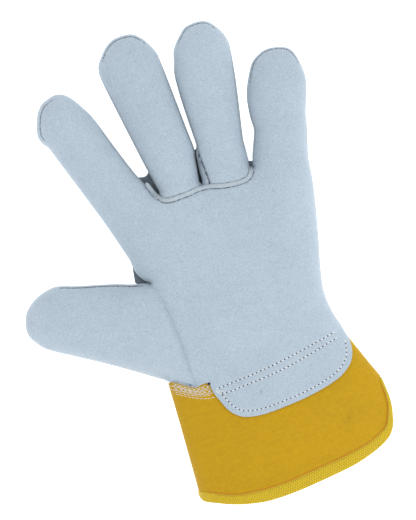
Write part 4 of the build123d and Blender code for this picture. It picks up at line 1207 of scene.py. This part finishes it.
# marks on the front of the cuff cloth: two smudges and a speck of dirt, a faint darker band above the tape, and
# painted shade along the left fold
marks = np.zeros(len(VV))
for line, k, w in ((np.array([(35.4, -89.0), (40.6, -86.0)]), 0.34, 0.9), (np.array([(36.8, -89.6), (38.4, -88.4)]), 0.16, 1.4),
                   (np.array([(-38.6, -79.8), (-38.2, -78.4)]), 0.3, 0.8), (np.array([(-29.6, -103.9), (20.0, -104.6)]), 0.06, 2.2)):
    marks = np.maximum(marks, k * np.exp(-(seg_dist(VV[:, :2], line)[0] / w) ** 2))
marks = np.maximum(marks, 0.09 * np.exp(-(seg_dist(VV[:, :2], fold_left)[0] / 2.4) ** 2))
marks[~front_face] = 0
ob = new_mesh("cuff_canvas", VV, FF, [m_cuff, m_cuff_in], mat_index=np.where(kind == 1, 1, 0), sharp=sharp, attrs={"shade_and_smudge": marks})
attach(ob, "hand"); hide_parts("cuff_shell")
V2 = V - nv * 1.12
nv2 = vertex_normals(V2, F)
VV, FF, sharp, kind = shell(V2, F, 0.7, nv2)
ob = new_mesh("cuff_drill_lining", VV, FF, [m_drill], sharp=sharp)
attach(ob, "hand"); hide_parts("cuff_lining")

# woven tape round the hem and up both sides of the slit
tape_in = smooth([(62.5, -73.6), (62.5, -79.0), (62.15, -84.6), (61.2, -90.1), (58.8, -95.0), (55.9, -99.9), (49.6, -103.1), (42.2, -105.3), (34.0, -106.4), (25.4, -107.2), (9.7, -107.8),
    (-6.2, -108.4), (-21.5, -107.6), (-36.2, -105.1), (-43.3, -102.4), (-51.3, -98.3), (-57.85, -94.9)], 1.0)


def resample(c, n):
    s = np.r_[0, np.cumsum(np.linalg.norm(np.diff(c, axis=0), axis=1))]
    x = np.linspace(0, s[-1], n)
    return np.c_[np.interp(x, s, c[:, 0]), np.interp(x, s, c[:, 1])]


NT = 230
tO = resample(hem_edge, NT)
# match each outer point with the nearest inner one, kept in order
sI = np.r_[0, np.cumsum(np.linalg.norm(np.diff(tape_in, axis=0), axis=1))]
dense = resample(tape_in, 1200)
dm = np.linalg.norm(tO[:, None, :] - dense[None], axis=2).argmin(1).astype(float)
dm = np.maximum.accumulate(dm)
dm[0], dm[-1] = 0, 1199
ker = np.ones(15) / 15
dm = np.convolve(np.r_[[dm[0]] * 7, dm, [dm[-1]] * 7], ker, "valid")
dm[0], dm[-1] = 0, 1199
tI = np.c_[np.interp(dm, np.arange(1200), dense[:, 0]), np.interp(dm, np.arange(1200), dense[:, 1])]


def cuff_point(p, side):
    """Point and outward normal on the cuff's face; at the left fold the normal lies flat."""
    z = cuff_front(p) if side > 0 else cuff_back(p)
    l, r = cuff_edges(p[:, 1])
    cx, a = 0.5 * (l + r), 0.5 * (r - l)
    b = tube(p[:, 1])[2] - CUFF_IN
    zt = tube(p[:, 1])[3]
    n = np.c_[(p[:, 0] - cx) / a ** 2, 0 * z, (z - zt) / b ** 2]
    n = n / np.linalg.norm(n, axis=1)[:, None]
    return np.c_[p, z], n


tape_prof_out = [(1.0, 0.02), (1.0, 0.36), (0.93, 0.66), (0.75, 0.86), (0.5, 0.92), (0.25, 0.94), (0.06, 0.92)]
flat_end = (1 - 0.5 * sstep(np.linspace(0, 1, NT), 0.95, 1.0))[:, None]
rows = []
for side in (1, -1):
    half_rows = []
    for t, h in tape_prof_out:
        q = tO + (tI - tO) * t
        P3, n = cuff_point(q, side)
        half_rows.append(("o", t, P3 + n * h * flat_end))
    edge3, ne = cuff_point(tO, side)
    inw = tI - tO
    inw = inw / np.maximum(np.linalg.norm(inw, axis=1), 1e-9)[:, None]
    out3 = np.c_[-inw, np.zeros(NT)]
    out3 = out3 - ne * (out3 * ne).sum(1)[:, None]
    out3 = out3 / np.maximum(np.linalg.norm(out3, axis=1), 1e-9)[:, None]
    for ang in (60, 20, -20, -60):
        cth, sth = math.cos(math.radians(ang)), math.sin(math.radians(ang))
        half_rows.append(("e", 0.0, edge3 + ne * (-0.9 + (0.92 + 0.92 * flat_end) * sth) + out3 * (0.6 * cth) * flat_end))
    for t, h in tape_prof_out[::-1]:
        q = tO + (tI - tO) * t
        P3, n = cuff_point(q, side)
        half_rows.append(("i", t, P3 - n * (1.82 + h * 0.98)))
    rows.append(half_rows)
K = len(rows[0])
grid3 = np.zeros((2 * NT - 1, K, 3))
for k in range(K):
    grid3[:NT, k] = rows[0][k][2]
    grid3[NT - 1:, k] = rows[1][k][2][::-1]
    grid3[NT - 1, k] = 0.5 * (rows[0][k][2][-1] + rows[1][k][2][-1])
grid3[:, :, 2] = np.maximum(grid3[:, :, 2], 0.12)
R = len(grid3)
su = np.r_[0, np.cumsum(np.linalg.norm(np.diff(grid3[:, 4], axis=0), axis=1))]
tv = np.array([6.0 * (1 - t) if kind_ != "e" else 6.2 for kind_, t, _ in rows[0]])
V = grid3.reshape(-1, 3)
F = []
for r in range(R - 1):
    for k in range(K):
        k2 = (k + 1) % K
        a0, a1, b0, b1 = r * K + k, r * K + k2, (r + 1) * K + k, (r + 1) * K + k2
        F += [(a0, a1, b1), (a0, b1, b0)]
for r, sgn in ((0, 1), (R - 1, -1)):
    ring = [r * K + k for k in range(K)]
    for k in range(K // 2):
        a0, a1, b0, b1 = ring[k], ring[k + 1], ring[K - 1 - k], ring[K - 2 - k]
        if a1 == b1:
            continue
        if len({a0, a1, b0, b1}) == 4:
            F += [(a0, b1, a1), (a0, b0, b1)] if sgn > 0 else [(a0, a1, b1), (a0, b1, b0)]
F = np.array(F)
nn = vertex_normals(V, F)
if (nn[4 + K * (NT // 2)][2]) < 0:
    F = F[:, ::-1]
ob = new_mesh("hem_tape", V, F, [m_tape], attrs={"tape_u": np.repeat(su, K), "tape_v": np.tile(tv, R)})
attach(ob, "hand"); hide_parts("hem_binding")


stitch_line = tO + (tI - tO) * 0.86
def tape_normal_z(p):
    P3, n = cuff_point(p, 1)
    return P3[:, 2] + 0.93 / np.maximum(n[:, 2], 0.35)


o = run_of_stitches("tape_threads", [[tuple(q) for q in stitch_line[6:-10:5]]], tape_normal_z, 1.9, 1.6, 0.17, mat=m_tape_thread, holes=False, lift=0.02)
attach(o, "hand"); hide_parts("binding_stitching")
def tape_back_z(p):
    P3, n = cuff_point(p, -1)
    return np.maximum(P3[:, 2] - 0.93 / np.maximum(-n[:, 2], 0.35), 0.15)


o = run_of_stitches("tape_threads_back", [[tuple(q) for q in stitch_line[6:-10:5]]], tape_back_z, 1.9, 1.6, 0.16, sign=-1, mat=m_tape_thread, holes=False, lift=0.0)
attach(o, "hand")
# dark seam where the tape's inner edge meets the cloth
o = strip("tape_inner_cord", [tuple(q) for q in (tO + (tI - tO) * 1.03)[6:-6:4]], 0.27, 0.3, cuff_front, m_orange, sink=0.2, taper=1.0)
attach(o, "hand")

# overlock over the raw edge between thumb and patch, and two fine rows below it
ov_top = resample(smooth([(-50.7, -30.6), (-47.3, -32.2), (-44.2, -34.4), (-41.1, -36.9), (-36.3, -39.8), (-33.6, -39.3), (-31.2, -39.4), (-29.3, -40.0)], 0.5), 200)
ov_bot = resample(smooth([(-51.3, -34.2), (-50.0, -35.2), (-44.5, -38.9), (-39.9, -42.0), (-36.5, -43.6), (-33.3, -44.7), (-28.9, -46.0)], 0.5), 200)
ov_mid = 0.5 * (ov_top + ov_bot)
VV, FF, off = [], [], 0
rnd = random.Random(41)


def yarn_run(a, b, r, lift):
    global off
    q = np.array([a, b, (np.array(a) + b) / 2])
    P3 = np.c_[q, cuff_front(q)]
    n = fd_normal(cuff_front, q, 1)
    Vc, Fc = capsule(P3[0] + n[0] * lift, P3[1] + n[1] * lift, r, n[2])
    VV.append(Vc)
    FF.extend(tuple(int(j) + off for j in f) for f in Fc)
    off += len(Vc)


kz = 9
for upper, lower in ((ov_top, ov_mid), (ov_mid, ov_bot)):
    for i in range(kz):
        fa, fb = i / kz, (i + 1) / kz
        for r0, r1 in ((upper, lower), (lower, upper)):
            pa = r0[int(fa * 199)] + np.array([rnd.uniform(-0.22, 0.22), rnd.uniform(-0.22, 0.22)])
            pb = r1[int(fb * 199)] + np.array([rnd.uniform(-0.22, 0.22), rnd.uniform(-0.22, 0.22)])
            yarn_run(pa, pb, rnd.uniform(0.13, 0.18), 0.1)
for line in (ov_mid, ov_bot):
    c = line[::8]
    for a, b in zip(c[:-1], c[1:]):
        yarn_run(a, b, 0.15, 0.12)
ob = new_mesh("overlock_threads", np.vstack(VV), FF, [m_thread])
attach(ob, "hand"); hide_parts("cuff_overlock")
q = np.array([[-29.1, -39.9]])
Vd, Fd = dot(np.c_[q, leather_front(q)][0] + np.array([0.0, 0.0, 0.05]), fd_normal(leather_front, q, 1)[0], 0.85, 0.5, 10)
ob = new_mesh("hem_knot", Vd, Fd, [m_fleck])
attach(ob, "hand")
q = np.array([[6.3, -86.1], [7.7, -87.0], [7.0, -86.5]])
Vl, Fl = capsule(*(np.c_[q, cuff_front(q)][:2] + np.array([0.0, 0.0, 0.12])), 0.14, fd_normal(cuff_front, q, 1)[2])
ob = new_mesh("cuff_lint", Vl, Fl, [m_lint])
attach(ob, "hand")
fine_rows = [[(-51.0, -35.7), (-45.3, -39.6), (-40.2, -42.8), (-36.3, -44.7), (-28.6, -46.9)], [(-51.1, -37.0), (-45.0, -41.1), (-39.8, -44.4), (-35.0, -46.8), (-31.8, -47.8), (-28.2, -48.2)]]
o = run_of_stitches("cuff_row_threads", fine_rows, cuff_front, 2.3, 2.2, 0.15, holes=False, lift=0.04)
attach(o, "hand"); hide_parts("cuff_row_stitching")

# ------------------------------------------------------------------ inside pieces
def inner_poly(shrink):
    base = np.vstack([c_tseam[::-1][4:-2], c_index[3:i_ix - 8], np.array([(-38.0, 55.0), (0.0, 55.0), (36.0, 53.0), (60.0, 49.0)]), c_little[i_lt + 10:i_wr - 8], np.array([(30.0, -26.0), (0.0, -26.0), (-34.0, -26.0)])])
    return base


lp = resample(np.vstack([inner_poly(0), inner_poly(0)[:1]]), 300)[:-1]
dd = np.roll(lp, -1, axis=0) - np.roll(lp, 1, axis=0)
dd = dd / np.linalg.norm(dd, axis=1)[:, None]
sa = np.sum(lp[:, 0] * np.roll(lp[:, 1], -1) - np.roll(lp[:, 0], -1) * lp[:, 1])
lp = lp + np.c_[-dd[:, 1], dd[:, 0]] * (3.2 if sa > 0 else -3.2)
lo = panel("palm_drill_lining", lp, lambda p: leather_front(p) - 1.75, 1, [m_drill], thick=0.7, grid=3.0, rings=(1.0,))
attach(lo, "hand"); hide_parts("palm_lining")
ep = smooth([(-28.0, -26.0), (-28.0, -18.0)], 1.0)
ep = np.vstack([smooth([(-28.0, -26.0), (40.0, -26.0)], 1.0)[:-1], smooth([(40.0, -26.0), (40.0, -18.0)], 1.0)[:-1], smooth([(40.0, -18.0), (-28.0, -18.0)], 1.0)[:-1], smooth([(-28.0, -18.0), (-28.0, -26.0)], 1.0)[:-1]])
el = panel("wrist_elastic_web", ep, lambda p: leather_back(p) + 1.5, -1, [m_elastic], thick=-0.0 + 0.8, grid=2.0, rings=(0.8,))
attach(el, "hand"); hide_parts("wrist_elastic")

# ------------------------------------------------------------------ set
bpy.ops.mesh.primitive_plane_add(size=6.0, location=(0, 0, -0.0006))
floor = bpy.context.object
floor.name = "floor"
mf, nt, b = nodes_of("paper_floor")
co = nnode(nt, "ShaderNodeTexCoord").outputs["Object"]
nt.links.new(mixc(nt, noise(nt, co, 3.0), (0.93, 0.93, 0.93, 1), (0.95, 0.95, 0.95, 1)), b.inputs["Base Color"])
b.inputs["Roughness"].default_value = 0.9
b.inputs["Emission Color"].default_value = (1.0, 1.0, 1.0, 1.0)
b.inputs["Emission Strength"].default_value = 0.8
floor.data.materials.append(mf)


def area_light(name, loc, size, power, target=(0.0, 0.0, 0.015)):
    ld = bpy.data.lights.new(name, "AREA")
    ld.shape = "SQUARE"
    ld.size = size
    ld.energy = power
    lo_ = bpy.data.objects.new(name, ld)
    lo_.location = loc
    d = Vector(target) - Vector(loc)
    lo_.rotation_euler = d.to_track_quat("-Z", "Y").to_euler()
    bpy.context.scene.collection.objects.link(lo_)
    return lo_


k1 = area_light("key", (0.70, -0.45, 1.15), 0.9, 7.4)
k2 = area_light("fill", (-0.70, 0.65, 1.0), 1.1, 2.5)
k3 = area_light("low", (-0.4, -0.9, 0.8), 1.0, 1.8)
world = bpy.data.worlds.new("studio")
bpy.context.scene.world = world
world.use_nodes = True
bg = world.node_tree.nodes.get("Background")
bg.inputs[0].default_value = (1.0, 1.0, 1.0, 1)
bg.inputs[1].default_value = 0.76

cam_d = bpy.data.cameras.new("cam")
cam = bpy.data.objects.new("cam", cam_d)
D = 4.0
cam.location = (0.0101, 0.00226, D)
cam.rotation_euler = (0.0, 0.0, math.radians(-22.0))
cam_d.sensor_width = 36.0
cam_d.sensor_fit = "AUTO"
cam_d.lens = 36.0 * (D - 0.015) / 0.299
bpy.context.scene.collection.objects.link(cam)
bpy.context.scene.camera = cam
bpy.context.scene.view_settings.view_transform = "Standard"
